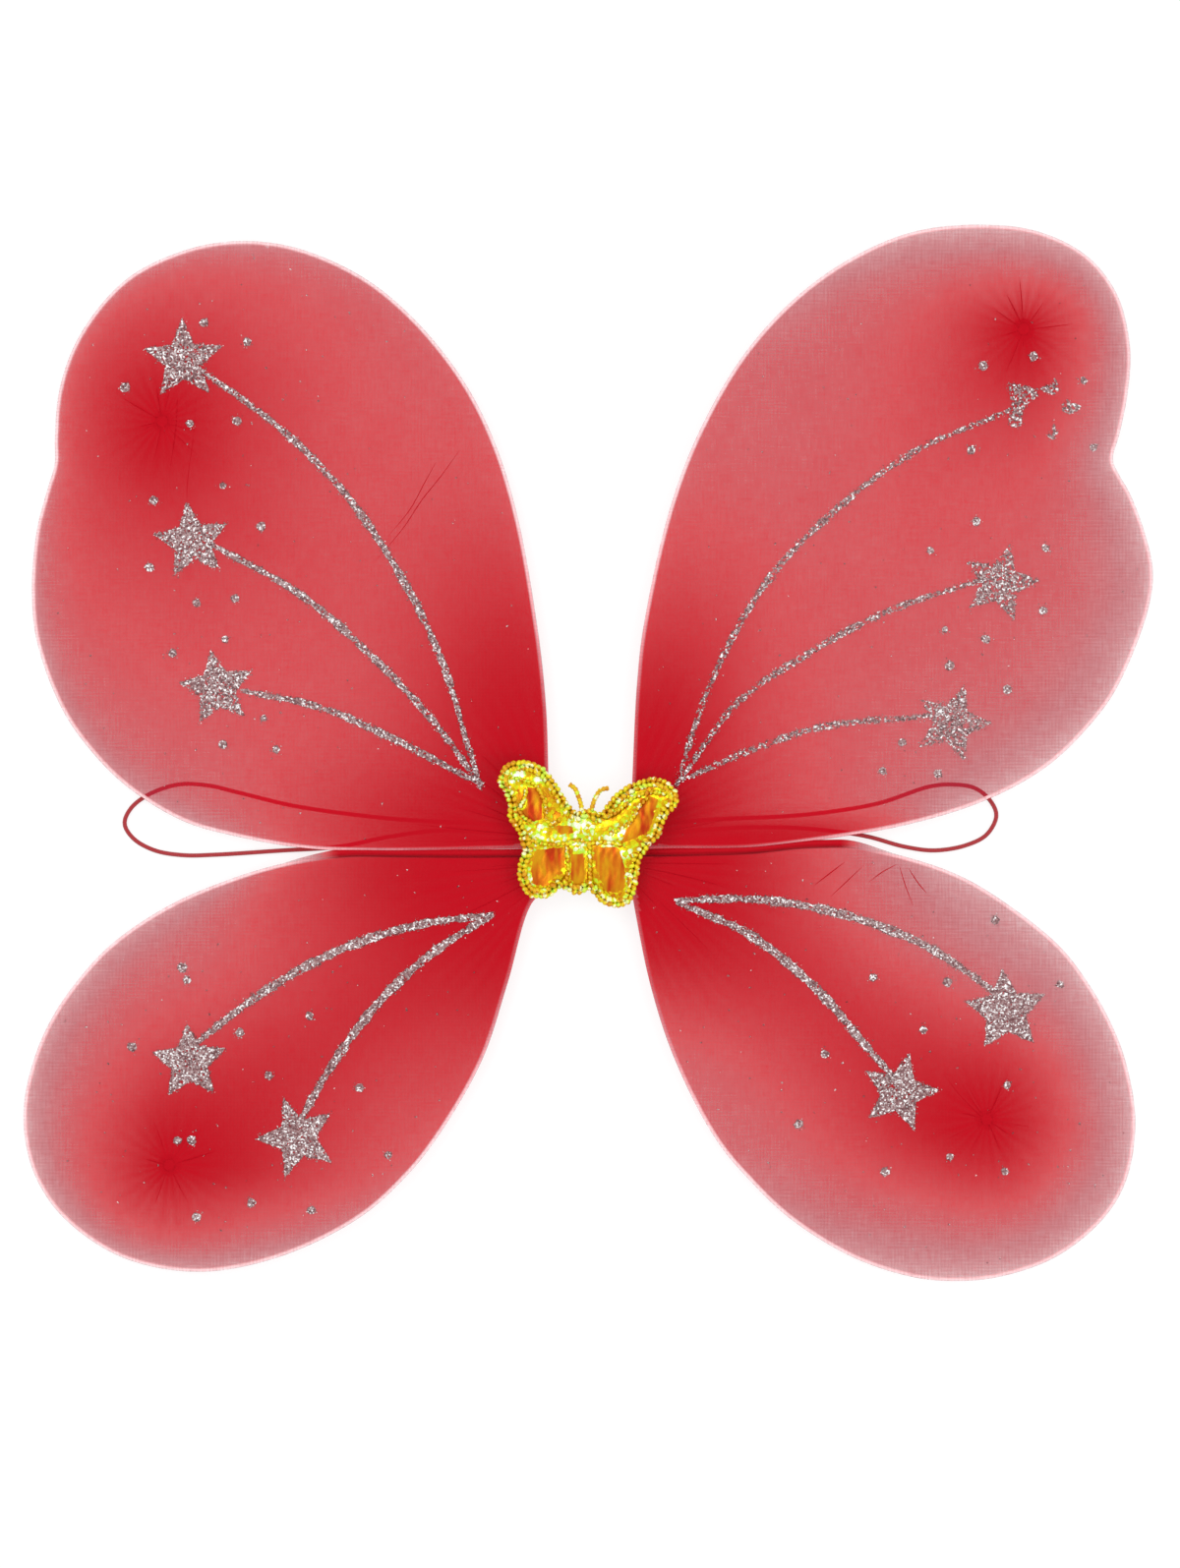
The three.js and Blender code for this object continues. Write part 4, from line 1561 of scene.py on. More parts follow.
    def _wrap(
        self, work: Workpiece, rim_line: np.ndarray, sheer: np.ndarray, tops: dict[Layer, int]
    ) -> None:
        """Carry the net round the wire from the front layer to the back one.

        Args:
            work: the sleeve so far.
            rim_line: the wire's flat centre line.
            sheer: how open the net is along it.
            tops: where each layer's outline starts.
        """
        count, rows = len(rim_line), 5
        outward = self._outward(rim_line)
        area = turning(rim_line)
        columns = []
        loose = self._loose(rim_line)
        for j in range(1, rows):
            angle = math.pi / 2 - math.pi * j / rows
            ring = rim_line + outward * ((self.net_radius + loose) * math.cos(angle))[:, None]
            height = self.net_radius * math.sin(angle)
            first = work.add([self.place(x, y, height) for x, y in ring], [])
            work.store("sheer", first, sheer)
            columns.append(first)
        edges = [tops[Layer.FRONT], *columns, tops[Layer.BACK]]
        for a, b in zip(edges, edges[1:]):
            for i in range(count - 1):
                face = (a + i, a + i + 1, b + i + 1, b + i)
                face = face if area < 0 else tuple(reversed(face))
                work.faces.append(self.wound(tuple(reversed(face))))

    # ------------------------------------------------------------ tied end

    def build_tie(self) -> list[bpy.types.Object]:
        """Make the drawn-together end of the sleeve, and the thread round its neck."""
        g = self.gather
        rng = np.random.default_rng(self.seed + 50)
        profile = [
            (4.6, -1.15), (3.1, -1.7), (2.3, -2.2), (2.1, -2.6), (2.4, -3.0), (3.4, -3.6),
            (4.2, -4.1), (4.3, -4.5), (3.2, -4.35), (1.6, -4.1),
        ]
        flute_count, flute_sides = 16, 4
        sides = flute_count * flute_sides
        flutes = rng.uniform(0.5, 1.0, flute_count)
        work = Workpiece()
        points = []
        for i, (radius, z) in enumerate(profile):
            for k in range(sides):
                angle = 2 * math.pi * k / sides
                crease = math.cos(angle * flute_count) * flutes[k // flute_sides] * (0.06 + 0.012 * i)
                r = radius * (1 + crease)
                points.append(self.place(g.x + r * math.cos(angle), g.y + r * math.sin(angle), z))
        points.append(self.place(g.x, g.y, profile[-1][1]))
        faces = bands(len(profile), sides)
        last = (len(profile) - 1) * sides
        faces += [(last + k, last + (k + 1) % sides, len(points) - 1) for k in range(sides)]
        first = work.add(points, [self.wound(tuple(reversed(f))) for f in faces])
        work.store("sheer", first, np.zeros(len(points)))
        tuft = work.piece(f"{self.name}_gathered_end", self.finishes.net)
        coil_radius, coil_top, coil_pitch, coil_turns, thread_radius = 2.55, -2.15, 0.42, 2.6, 0.26
        coil = []
        for a in np.linspace(0, 2 * math.pi * coil_turns, 90):
            x, y = g.x + coil_radius * math.cos(a), g.y + coil_radius * math.sin(a)
            coil.append(self.place(x, y, coil_top - coil_pitch * a / (2 * math.pi)))
        work = Workpiece()
        work.tube(np.array(coil), thread_radius, 6)
        thread = work.piece(f"{self.name}_tied_thread", self.finishes.thread)
        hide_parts(f"{self.name}_tip_tie")
        for piece in (tuft, thread):
            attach(piece, self.body)
        log.info("%s tied end", self.name)
        return [tuft, thread]

    def build_root_tie(self) -> bpy.types.Object:
        """Make the thread that draws the sleeve's mouth onto the two legs of the wire."""
        top, bottom = max(self.legs), min(self.legs)
        reach = self.net_radius + 0.32
        turns, loop, start, width, thread_radius = 4, 36, 11.2, 1.6, 0.24
        path = []
        for i in range(turns * loop + 1):
            angle = 2 * math.pi * i / loop
            y = (top if math.cos(angle) >= 0 else bottom) + reach * math.cos(angle)
            x = start + width * i / (turns * loop)
            path.append((self.side.value * x, y, STACK.wire_z + reach * math.sin(angle)))
        work = Workpiece()
        work.tube(np.array(path), thread_radius, 6)
        piece = work.piece(f"{self.name}_root_thread", self.finishes.thread)
        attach(piece, Body.CENTRE.value)
        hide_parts(f"{self.name}_root_tie")
        return piece

    # ------------------------------------------------------------ glitter

    def _glitter_base(self, points: np.ndarray) -> np.ndarray:
        """The heights where glitter starts, just clear of the fully sagged net."""
        far_from_wire, clear = 20.0, 0.1
        return self.height(points, np.full(len(points), far_from_wire), Layer.FRONT) + clear

    def _crust(
        self, work: Workpiece, outline: np.ndarray, rng: np.random.Generator, step: float = 0.75
    ) -> None:
        """Lay a crust of flakes inside an outline.

        Args:
            work: the glitter so far.
            outline: the crust's edge, flat.
            rng: the source of the flakes' tilts.
            step: the distance between flakes.
        """
        outline = outline + rng.uniform(-0.3, 0.3, outline.shape)
        grid = lattice(outline, step)
        grid = grid + rng.uniform(-0.3, 0.3, grid.shape) * step
        grid = grid[is_inside(grid, outline)]
        grid = grid[rim_distance(grid, outline) > 0.4 * step]
        points, faces, count = filled(outline, grid)
        glue_thickness = 0.08
        base = self._glitter_base(points)
        lift = rng.uniform(0.05, 0.42, len(points))
        lift[:count] = rng.uniform(0.0, 0.08, count)
        top = [self.place(x, y, h) for (x, y), h in zip(points, base + glue_thickness + lift)]
        bottom = [self.place(x, y, h) for (x, y), h in zip(points, base)]
        n = len(points)
        sides = [(i, (i + 1) % count, n + (i + 1) % count, n + i) for i in range(count)]
        flip = [tuple(n + i for i in reversed(f)) for f in faces]
        walls = [tuple(reversed(s)) if turning(outline) > 0 else s for s in sides]
        work.add([*top, *bottom], [self.wound(f) for f in [*faces, *flip, *walls]])

    def _crumbs(
        self, work: Workpiece, places: np.ndarray, count: int, spread: float, rng: np.random.Generator
    ) -> None:
        """Scatter loose flakes about some places.

        Args:
            work: the glitter so far.
            places: the flat places they lie about.
            count: how many there are.
            spread: how far they stray.
            rng: the source of their places.
        """
        chosen = places[rng.integers(0, len(places), count)] + rng.normal(0, spread, (count, 2))
        for (x, y), z in zip(chosen, self._glitter_base(chosen)):
            size = rng.uniform(0.18, 0.42)
            turn = rng.uniform(0, 2 * math.pi)
            corners = [
                (x + size * math.cos(turn + a), y + size * math.sin(turn + a), z)
                for a in (0, 2.1, 4.2)
            ]
            lean = (rng.uniform(-0.2, 0.2), rng.uniform(-0.2, 0.2), rng.uniform(0.15, 0.4))
            tip = (x + lean[0], y + lean[1], z + lean[2])
            laid = [self.place(*corner) for corner in (*corners, tip)]
            work.add(laid, [self.wound(f) for f in ((0, 2, 1), (0, 1, 3), (1, 2, 3), (2, 0, 3))])

    def _trail(self, points: Sequence[Flat]) -> np.ndarray:
        """The edge of one trail, which swells in the middle."""
        ends = np.array([points[0], points[-1]], float)
        inner = np.array([points[1], points[-2]], float)
        outward = (ends - inner) / np.linalg.norm(ends - inner, axis=1)[:, None]
        near_star = ends[:, 0] > ends[:, 0].mean()
        into_star, past_root = 5.0, 1.0
        ends = ends + outward * np.where(near_star, into_star, past_root)[:, None]
        line = respaced(smooth_line([ends[0], *points[1:-1], ends[1]], 12), GLITTER_EDGE)
        across = -right_of(directions(line))
        share = np.linspace(0, 1, len(line))
        half = self.motif.width * (0.55 + 0.45 * np.sin(math.pi * share) ** 0.6)
        half = half * (1 + 0.14 * np.sin(37 * share + self.seed) + 0.1 * np.sin(91 * share))
        return np.vstack([line + across * half[:, None], (line - across * half[:, None])[::-1]])

    def _star(self, star: Star) -> np.ndarray:
        """The edge of one star."""
        corners = []
        for i in range(10):
            angle = math.pi / 2 + math.pi * i / 5 + math.radians(star.turn) * self.side.value
            reach = star.waist if i % 2 else star.tip
            corners.append((star.x + reach * math.cos(angle), star.y + reach * math.sin(angle)))
        return closed_ring(corners, GLITTER_EDGE)

    def build_glitter(self) -> bpy.types.Object:
        """Make the wing's stars, trails and dots."""
        rng = np.random.default_rng(self.seed + 100)
        work = Workpiece()
        edges = [self._trail(trail) for trail in self.motif.trails]
        edges += [self._star(star) for star in self.motif.stars]
        edges += [closed_ring(shard, GLITTER_EDGE) for shard in self.motif.shards]
        for edge in edges:
            self._crust(work, edge, rng)
            self._crumbs(work, edge, int(len(edge) * 1.1), 0.45, rng)
        whole = self.centre_line()
        tries, clear = 260, 4
        spots = [rng.uniform(low, high, tries) for low, high in zip(whole.min(0), whole.max(0))]
        anywhere = np.stack(spots, axis=1)
        anywhere = anywhere[is_inside(anywhere, whole)]
        anywhere = anywhere[rim_distance(anywhere, whole) > clear]
        self._crumbs(work, anywhere, 2 * len(anywhere), 0.2, rng)
        loose = len(work.points)
        for x, y in self.motif.dots:
            size = rng.uniform(1.4, 2.1)
            ring = [
                (x + size * math.cos(a), y + size * math.sin(a))
                for a in np.linspace(0, 2 * math.pi, 12)[:-1]
            ]
            self._crust(work, np.array(ring), rng)
            self._crumbs(work, np.array(ring), 9, 0.7, rng)
        work.store("worn", 0, np.full(loose, self.motif.worn))
        work.store("worn", loose, np.zeros(len(work.points) - loose))
        piece = work.piece(f"{self.name}_glitter_stars", self.finishes.glitter, smooth=False)
        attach(piece, self.body)
        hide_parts(f"{self.name}_glitter")
        log.info("%s glitter, %d points", self.name, len(work.points))
        return piece

    def build(self) -> None:
        """Make the whole wing."""
        self.build_wire()
        self.build_net()
        self.build_tie()
        self.build_root_tie()
        self.build_glitter()


# ---------------------------------------------------------------- the binding behind the middle


@dataclass
class Binding:
    """What holds the middle together: the pad, the glue, the tape and the elastics' knots."""

    finishes: Finishes
    pad_width: float = 24.0
    pad_height: float = 21.0
    glue_width: float = 8.6
    glue_top: float = 9.0
    glue_bottom: float = -10.0
    glue_corner: float = 2.0
    tape_half: float = 10.0
    tape_low: float = -13.8
    tape_high: float = 5.8
    tape_corner: float = 1.6
    tape_width: float = 5.0
    tape_sunk: float = -0.32
    tape_step: float = 0.3
    tape_end: float = -0.75
    knot_size: float = 0.92
    knot_depth: float = 1.05
    elastic_radius: float = 0.9

    def _slab(
        self,
        outline: np.ndarray,
        low: float,
        high: float,
        round_off: float,
        uneven: float,
        seed: int,
    ) -> Workpiece:
        """A soft-edged slab.

        Args:
            outline: its flat outline, counter-clockwise.
            low: its underside's height.
            high: its top's height.
            round_off: how far its edges are rounded.
            uneven: how uneven its top is.
            seed: the seed of its unevenness.

        Returns:
            The slab.
        """
        rng = np.random.default_rng(seed)
        middle = outline.mean(0)
        spokes = outline - middle
        reach = np.linalg.norm(spokes, axis=1)[:, None]
        count = len(outline)
        side = ((0.0, low), (0.35, low), (1.0, (low + high) / 2), (0.6, high - 0.3 * round_off))
        rows = []
        for share, z in side:
            ring = middle + spokes * (1 - (1 - share) * round_off / reach)
            rows.append([(x, y, z) for x, y in ring])
        for shrink in (0.9, 0.65, 0.35):
            bump = rng.uniform(-uneven, 0, count)
            ring = middle + spokes * shrink
            rows.append([(x, y, high + b) for (x, y), b in zip(ring, bump)])
        points = [p for row in rows for p in row] + [(*middle, low), (*middle, high)]
        faces = bands(len(rows), count)
        faces += [((k + 1) % count, k, len(points) - 2) for k in range(count)]
        top = (len(rows) - 1) * count
        faces += [(top + k, top + (k + 1) % count, len(points) - 1) for k in range(count)]
        work = Workpiece()
        work.add(points, faces)
        return work

    def build_pad(self) -> None:
        """Make the oval felt pad with its row of stitches."""
        angles = np.linspace(0, 2 * math.pi, 73)[:-1]
        oval = np.stack(
            [self.pad_width / 2 * np.cos(angles), self.pad_height / 2 * np.sin(angles)], axis=1
        )
        slab = self._slab(oval, 0.0, STACK.pad, 0.5, 0.12, 3)
        pad = slab.piece("felt_back_pad", self.finishes.felt)
        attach(pad, Body.CENTRE.value)
        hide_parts("back_pad")
        work = Workpiece()
        stitch, inset_x, inset_y = 0.055, 0.86, 0.9
        for a in angles[::2]:
            b = a + stitch
            ends = [
                (
                    inset_x * self.pad_width / 2 * math.cos(t),
                    inset_y * self.pad_height / 2 * math.sin(t),
                    STACK.pad + 0.04,
                )
                for t in (a, (a + b) / 2, b)
            ]
            work.tube(np.array(ends), 0.2, 5)
        stitches = work.piece("pad_stitches", self.finishes.thread)
        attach(stitches, Body.CENTRE.value)
        log.info("back pad")

    def build_glue(self) -> None:
        """Make the bed of hot glue between the pad and the tape."""
        half, low = self.glue_width / 2, STACK.knot_bottom
        box = rounded_box(-half, half, self.glue_bottom, self.glue_top, self.glue_corner, 5)
        slab = self._slab(closed_ring(box, 1.2), low, low + STACK.knot_height, 1.0, 0.3, 5)
        glue = slab.piece("glue_blob", self.finishes.glue)
        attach(glue, Body.CENTRE.value)
        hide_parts("glue_bed")
        log.info("glue")

    def build_tape(self) -> None:
        """Make the cloth tape, wound in overlapping turns round the crossing wires."""
        half_z = (STACK.tape_top - STACK.tape_bottom) / 2
        middle_z = (STACK.tape_top + STACK.tape_bottom) / 2
        box = rounded_box(self.tape_low, self.tape_high, -half_z, half_z, self.tape_corner, 6)
        ring = closed_ring(box, 0.9)
        outward = right_of(directions(ring, around=1))
        count = len(ring)
        stations = np.linspace(-self.tape_half, self.tape_half, 41)
        rows = []
        for x in stations:
            turns = [(x / self.tape_width + k / count) % 1.0 for k in range(count)]
            rows.append((x, [self.tape_sunk + self.tape_step * turn for turn in turns]))
        rows += [(x, [self.tape_end] * count) for x in (stations[-1], stations[0])]
        points = []
        for x, proud in rows:
            for (y, z), out, rise in zip(ring, outward, proud):
                points.append((x, y + out[0] * rise, middle_z + z + out[1] * rise))
        work = Workpiece()
        work.add(points, bands(len(rows), count, closed=True))
        tape = work.piece("cloth_tape", self.finishes.tape)
        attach(tape, Body.CENTRE.value)
        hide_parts("binding_tape")
        log.info("tape")

    def build_knots(self) -> None:
        """Make the overhand knots that stop the elastics."""
        for side in Side:
            t = np.linspace(0, 2 * math.pi, 97)[:-1]
            size, depth = self.knot_size, self.knot_depth
            path = np.stack(
                [
                    side.value * STACK.knot_x + size * (np.sin(t) + 2 * np.sin(2 * t)),
                    STACK.knot_y + size * (np.cos(t) - 2 * np.cos(2 * t)),
                    STACK.knot_bottom + STACK.knot_height / 2 - depth * np.sin(3 * t),
                ],
                axis=1,
            )
            work = Workpiece()
            work.tube(path, self.elastic_radius, 9, closed=True)
            name = side.name.lower()
            knot = work.piece(f"{name}_elastic_knot", self.finishes.elastic)
            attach(knot, Body.CENTRE.value)
            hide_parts(f"{name}_strap_knot")
        log.info("knots")

    def build(self) -> None:
        """Make the whole binding."""
        self.build_pad()
        self.build_glue()
        self.build_tape()
        self.build_knots()


# ---------------------------------------------------------------- the foil butterfly


@dataclass
class FoilButterfly:
    """The padded foil butterfly on the front, edged with two rows of metallic beads."""

    finishes: Finishes
    centre: Flat = (-2.9, -2.0)
    turn: float = math.radians(-5)
    width: float = 74.4
    curl: float = 9.0
    backing: float = 1.0
    foil_rise: float = 2.6
    edge: Sequence[Flat] = (
        (-37.7, 26.6), (-34.5, 31.6), (-28, 33.2), (-19.5, 30.3), (-14, 23.8), (-10, 17.2),
        (-5.7, 12.2),
        (-0.8, 13.4), (3.7, 11.5), (9.8, 18.5), (14.8, 22.6), (20.5, 25), (26.2, 26.2),
        (32.4, 24.6),
        (36, 19.7), (35.7, 14.4), (32.4, 11.5), (30.3, 7), (28.7, 2), (25, -1.6), (23, -4.9),
        (20.5, -9.4),
        (19.7, -15.6), (18.9, -20.5), (16, -25.8), (11, -27.5), (6.2, -26.6), (2, -23),
        (-0.8, -20.5),
        (-5.3, -22.5), (-9, -20.9), (-12.3, -19.7), (-16, -22.6), (-20.9, -23.8), (-25.4, -22.6),
        (-28.7, -18), (-29.9, -13.1), (-29.1, -8.2), (-27.5, -4.5), (-28.7, -0.4), (-30.3, 4.5),
        (-33.6, 9.4), (-33.6, 14.4), (-35.3, 19.7), (-37.7, 23.4),
    )
    seams: Sequence[Sequence[Flat]] = (
        (
            (-12.9, 8.4), (-15.5, 6.9), (-18, 9), (-18.3, 14.5), (-20.3, 19.6), (-22.9, 23.3),
            (-27, 25.2), (-32, 26),
        ),
        ((-26.5, 20.5), (-27.5, 16.4), (-29.5, 13), (-27, 9.5), (-24, 7.5)),
        ((3.8, 11.6), (8.5, 10.5), (13, 13.5), (16.5, 17.2), (20.5, 19), (25, 20.2), (30.5, 19.6)),
        ((9, 3), (14, 6), (17.5, 9), (20.5, 14.5), (23.5, 17.3)),
        ((-9.6, -1.3), (-9.2, -8), (-9.4, -14.5), (-11.8, -18.2)),
        ((-0.2, -1.3), (0.1, -8), (0.2, -16.5), (1.6, -20)),
        ((-9.6, -1.3), (-5, 0.2), (-0.2, -1.3)),
        ((-27, 1.2), (-19, -1.4), (-9.6, -1.3)),
        ((-0.2, -1.3), (6, -0.6), (12.5, -1.8)),
    )
    panels: Sequence[Sequence[Flat]] = (
        (
            (-26.1, 22.8), (-21.5, 21.7), (-19.8, 15.9), (-19.8, 9), (-24, 7.5), (-29, 8.5),
            (-28.5, 12), (-26.1, 14.2),
        ),
        (
            (21.1, 17.1), (25, 18.6), (28.5, 17.1), (26.5, 10), (24.5, 4.4), (19, 0.8),
            (12.4, -1.3), (14.5, 4), (18, 9),
        ),
        (
            (-22.7, -3.6), (-9.8, -2.5), (-10.6, -10.5), (-14, -14.6), (-19.8, -18.6), (-23.8, -18),
            (-24.6, -11),
        ),
        ((-7.9, -5.5), (-2.5, -5), (-2.3, -17), (-5.4, -20), (-7.9, -15.5)),
        (
            (1.3, -2.5), (11.9, -2.5), (14.2, -9.4), (14.7, -18.6), (11.3, -22), (6.7, -20.9),
            (2.7, -12.8),
        ),
        ((-16, 6.5), (-8, 6.5), (-6.5, 3.2), (-12, 2.6)),
    )
    painted_highlight_spots: Sequence[tuple[float, float, float]] = (
        (-21.5, 1, 5.5), (-21, 0.5, 3), (-4, 7, 5), (-4, 1, 5), (8.5, -0.5, 3.5), (13, 4, 3),
        (-13, 1.5, 3.5), (2, 2.5, 3.5), (-0.5, 9, 3), (16, 17.5, 3), (-30, 27.5, 4), (18, 8, 3),
        (-20, 26, 3.5), (14.5, -5, 3), (16.5, -16, 3),
        (-24.5, -15, 3),
    )

    def lift(self, x: float, y: float) -> float:
        """How far the curled butterfly stands above its middle at a point."""
        out, up = x - self.centre[0], y - self.centre[1]
        across = math.cos(-self.turn) * out - math.sin(-self.turn) * up
        return self.curl * (across / (self.width / 2)) ** 2

    def place(self, x: float, y: float, z: float) -> np.ndarray:
        """Put a flat point at a height above the butterfly's underside."""
        return np.array((x, y, STACK.patch_z + z + self.lift(x, y)))

    def edge_line(self, inset: float = 0.0, step: float = 1.0) -> np.ndarray:
        """The outline, moved in by an inset.

        Args:
            inset: how far in it is moved.
            step: the distance between its points.

        Returns:
            A closed line, with its first point only once.
        """
        line = closed_ring(smooth_line(self.edge, 8, closed=True), step)
        inward = right_of(directions(line, around=2))
        return line + inward * inset * (1 if turning(line) < 0 else -1)

    def _plate(
        self, points: np.ndarray, faces: list[list[int]], count: int, top: np.ndarray, bottom: float
    ) -> Workpiece:
        """A curled plate.

        Args:
            points: its flat points, with the outline's first.
            faces: the triangles between them.
            count: how many points the outline has.
            top: the top's height at each point.
            bottom: the underside's height.

        Returns:
            The plate, with the top's points first.
        """
        n = len(points)
        over = [self.place(x, y, h) for (x, y), h in zip(points, top)]
        under = [self.place(x, y, bottom) for x, y in points]
        walls = [(i, n + i, n + (i + 1) % count, (i + 1) % count) for i in range(count)]
        walls = walls if turning(points[:count]) > 0 else [tuple(reversed(w)) for w in walls]
        work = Workpiece()
        back = [tuple(n + i for i in reversed(f)) for f in faces]
        work.add([*over, *under], [*faces, *back, *walls])
        return work

    def build_backing(self) -> None:
        """Make the stiff felt under the foil."""
        outline = self.edge_line(0.3, 1.2)
        grid = lattice(outline, 3)
        grid = grid[is_inside(grid, outline)]
        grid = grid[rim_distance(grid, outline) > 1.2]
        points, faces, count = filled(outline, grid)
        work = self._plate(points, faces, count, np.full(len(points), self.backing), 0)
        piece = work.piece("butterfly_backing", self.finishes.gold_felt)
        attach(piece, Body.CENTRE.value)
        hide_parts("patch_backing")
        log.info("butterfly backing")

    def build_foil(self) -> None:
        """Make the quilted foil face over its wadding."""
        outline = self.edge_line(1.6, 0.9)
        rng = np.random.default_rng(8)
        step = 0.8
        grid = lattice(outline, step)
        grid = grid + rng.uniform(-0.25, 0.25, grid.shape) * step
        grid = grid[is_inside(grid, outline)]
        grid = grid[rim_distance(grid, outline) > 0.5]
        points, faces, count = filled(outline, grid)
        rim = rim_distance(points, outline)
        seam = np.full(len(points), 1e9)
        for line in self.seams:
            seam = np.minimum(seam, rim_distance(points, respaced(smooth_line(line, 8), step)))
        puff = np.sqrt(np.clip(rim / 6, 0, 1)) * (1 - 0.45 * np.exp(-seam / 1.6))
        ripple = np.sin(points[:, 0] * 1.9 + 2.2 * np.sin(points[:, 1] * 0.6))
        wrinkle = 0.16 * ripple * np.clip(rim / 3, 0, 1)
        z = self.backing + 0.25 + self.foil_rise * puff + wrinkle * 0.6
        shine = np.ones(len(points))
        for panel in self.panels:
            ring = closed_ring(panel, step)
            edge = rim_distance(points, ring)
            inside = is_inside(points, ring)
            shine = np.minimum(shine, np.clip(0.5 + np.where(inside, -edge, edge) / 1.6, 0, 1))
        # The flash spots are painted highlights where the foil catches the light.
        flash = np.zeros(len(points))
        for x, y, reach in self.painted_highlight_spots:
            flash = np.maximum(flash, np.exp(-((points - (x, y)) ** 2).sum(1) / reach**2))
        work = self._plate(points, faces, count, z, self.backing + 0.1)
        work.store("shine", 0, np.r_[shine, shine])
        work.store("flash", 0, np.r_[flash, flash])
        piece = work.piece("butterfly_foil", self.finishes.foil)
        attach(piece, Body.CENTRE.value)
        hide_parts("patch_foil", "patch_padding")
        log.info("butterfly foil")

    def _beads(
        self, work: Workpiece, line: np.ndarray, size: float, height: float, slant: float
    ) -> None:
        """Lay a row of beads along a line.

        Args:
            work: the beads so far.
            line: the row's points, one for each bead.
            size: a bead's half length.
            height: how far the row's middle is above the underside.
            slant: how far each bead is turned from the row, in radians.
        """
        run = np.gradient(line, axis=0)
        rng = np.random.default_rng(int(1000 * size) + len(line))
        for (x, y), (dx, dy) in zip(line, run):
            angle = math.atan2(dy, dx) + slant + rng.uniform(-0.3, 0.3)
            x, y = x + rng.uniform(-0.2, 0.2), y + rng.uniform(-0.2, 0.2)
            ahead = self.place(x + math.cos(angle), y + math.sin(angle), height)
            centre = self.place(x, y, height)
            long = size * rng.uniform(0.85, 1.12)
            work.bead(centre, ahead - centre, (long, long * 0.78, long * 0.74))

    def build_beads(self) -> None:
        """Make the beaded edge and the rows across the face."""
        work = Workpiece()
        for inset, size, height, slant in ((0.85, 1.5, 1.9, 0.8), (2.9, 1.4, 3.1, -0.8)):
            line = self.edge_line(inset, 2.2)
            self._beads(work, line, size, height, slant)
        piece = work.piece("butterfly_beaded_edge", self.finishes.cord)
        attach(piece, Body.CENTRE.value)
        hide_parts("patch_edge_cord")
        work = Workpiece()
        for line in self.seams:
            self._beads(work, respaced(smooth_line(line, 8), 1.8), 1.1, 3.5, 0.6)
        rows = work.piece("butterfly_bead_rows", self.finishes.cord)
        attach(rows, Body.CENTRE.value)
        log.info("beads")

    def build_antennae(self) -> None:
        """Make the two feelers of twisted cord."""
        routes = {
            Side.LEFT: (
                (-3.4, 12.8, 2.2), (-3.9, 15.5, 2.3), (-5, 18.8, 2.4), (-6.2, 21.6, 2.5),
                (-8.6, 23.5, 2.6),
            ),
            Side.RIGHT: (
                (0.6, 12.8, 2.2), (1.3, 15.5, 2.3), (2.6, 18.6, 2.4), (4.6, 21.2, 2.5),
                (7.8, 21.9, 2.6),
            ),
        }
        for side, route in routes.items():
            line = respaced(smooth_line(route, 10), 0.3)
            path = np.array([self.place(x, y, z) for x, y, z in line])
            work = Workpiece()
            turns = length_of(path) / 1.5
            work.tube(path, lambda s: 1.0 + 0.15 * math.cos(2 * math.pi * s * turns), 9)
            piece = work.piece(f"{side.name.lower()}_feeler", self.finishes.cord)
            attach(piece, Body.CENTRE.value)
            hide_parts(f"{side.name.lower()}_antenna")
        log.info("feelers")

    def build(self) -> None:
        """Make the whole butterfly."""
        self.build_backing()
        self.build_foil()
        self.build_beads()
        self.build_antennae()


# ---------------------------------------------------------------- the four wings


LEFT_ELASTIC = (
    (-23, 5.6), (-41, 6.8), (-82, 9), (-123, 14.3), (-147, 20), (-160, 23), (-172, 23.4),
    (-184, 19.5),
    (-192, 13.5), (-194.7, 7), (-191, 0.8), (-182, -4.2), (-170, -6.2), (-157, -6), (-130, -4.3),
    (-105, -2.6), (-84, 1.5), (-64, 4), (-41, 3.2), (-23, 2),
)
RIGHT_ELASTIC = (
    (23, 5.8), (45, 8.3), (83, 10.2), (100, 11.9), (121, 15.6), (142, 22.5), (151, 23.4),
    (160.7, 22),
    (167, 17.2), (170, 10.5), (166, 2.5), (157.4, -2), (144, -4.2), (131.4, -2.6), (117, 1.4),
    (104, 3.6), (86, 5.2), (66, 5.4), (45, 4.2), (23, 2),
)


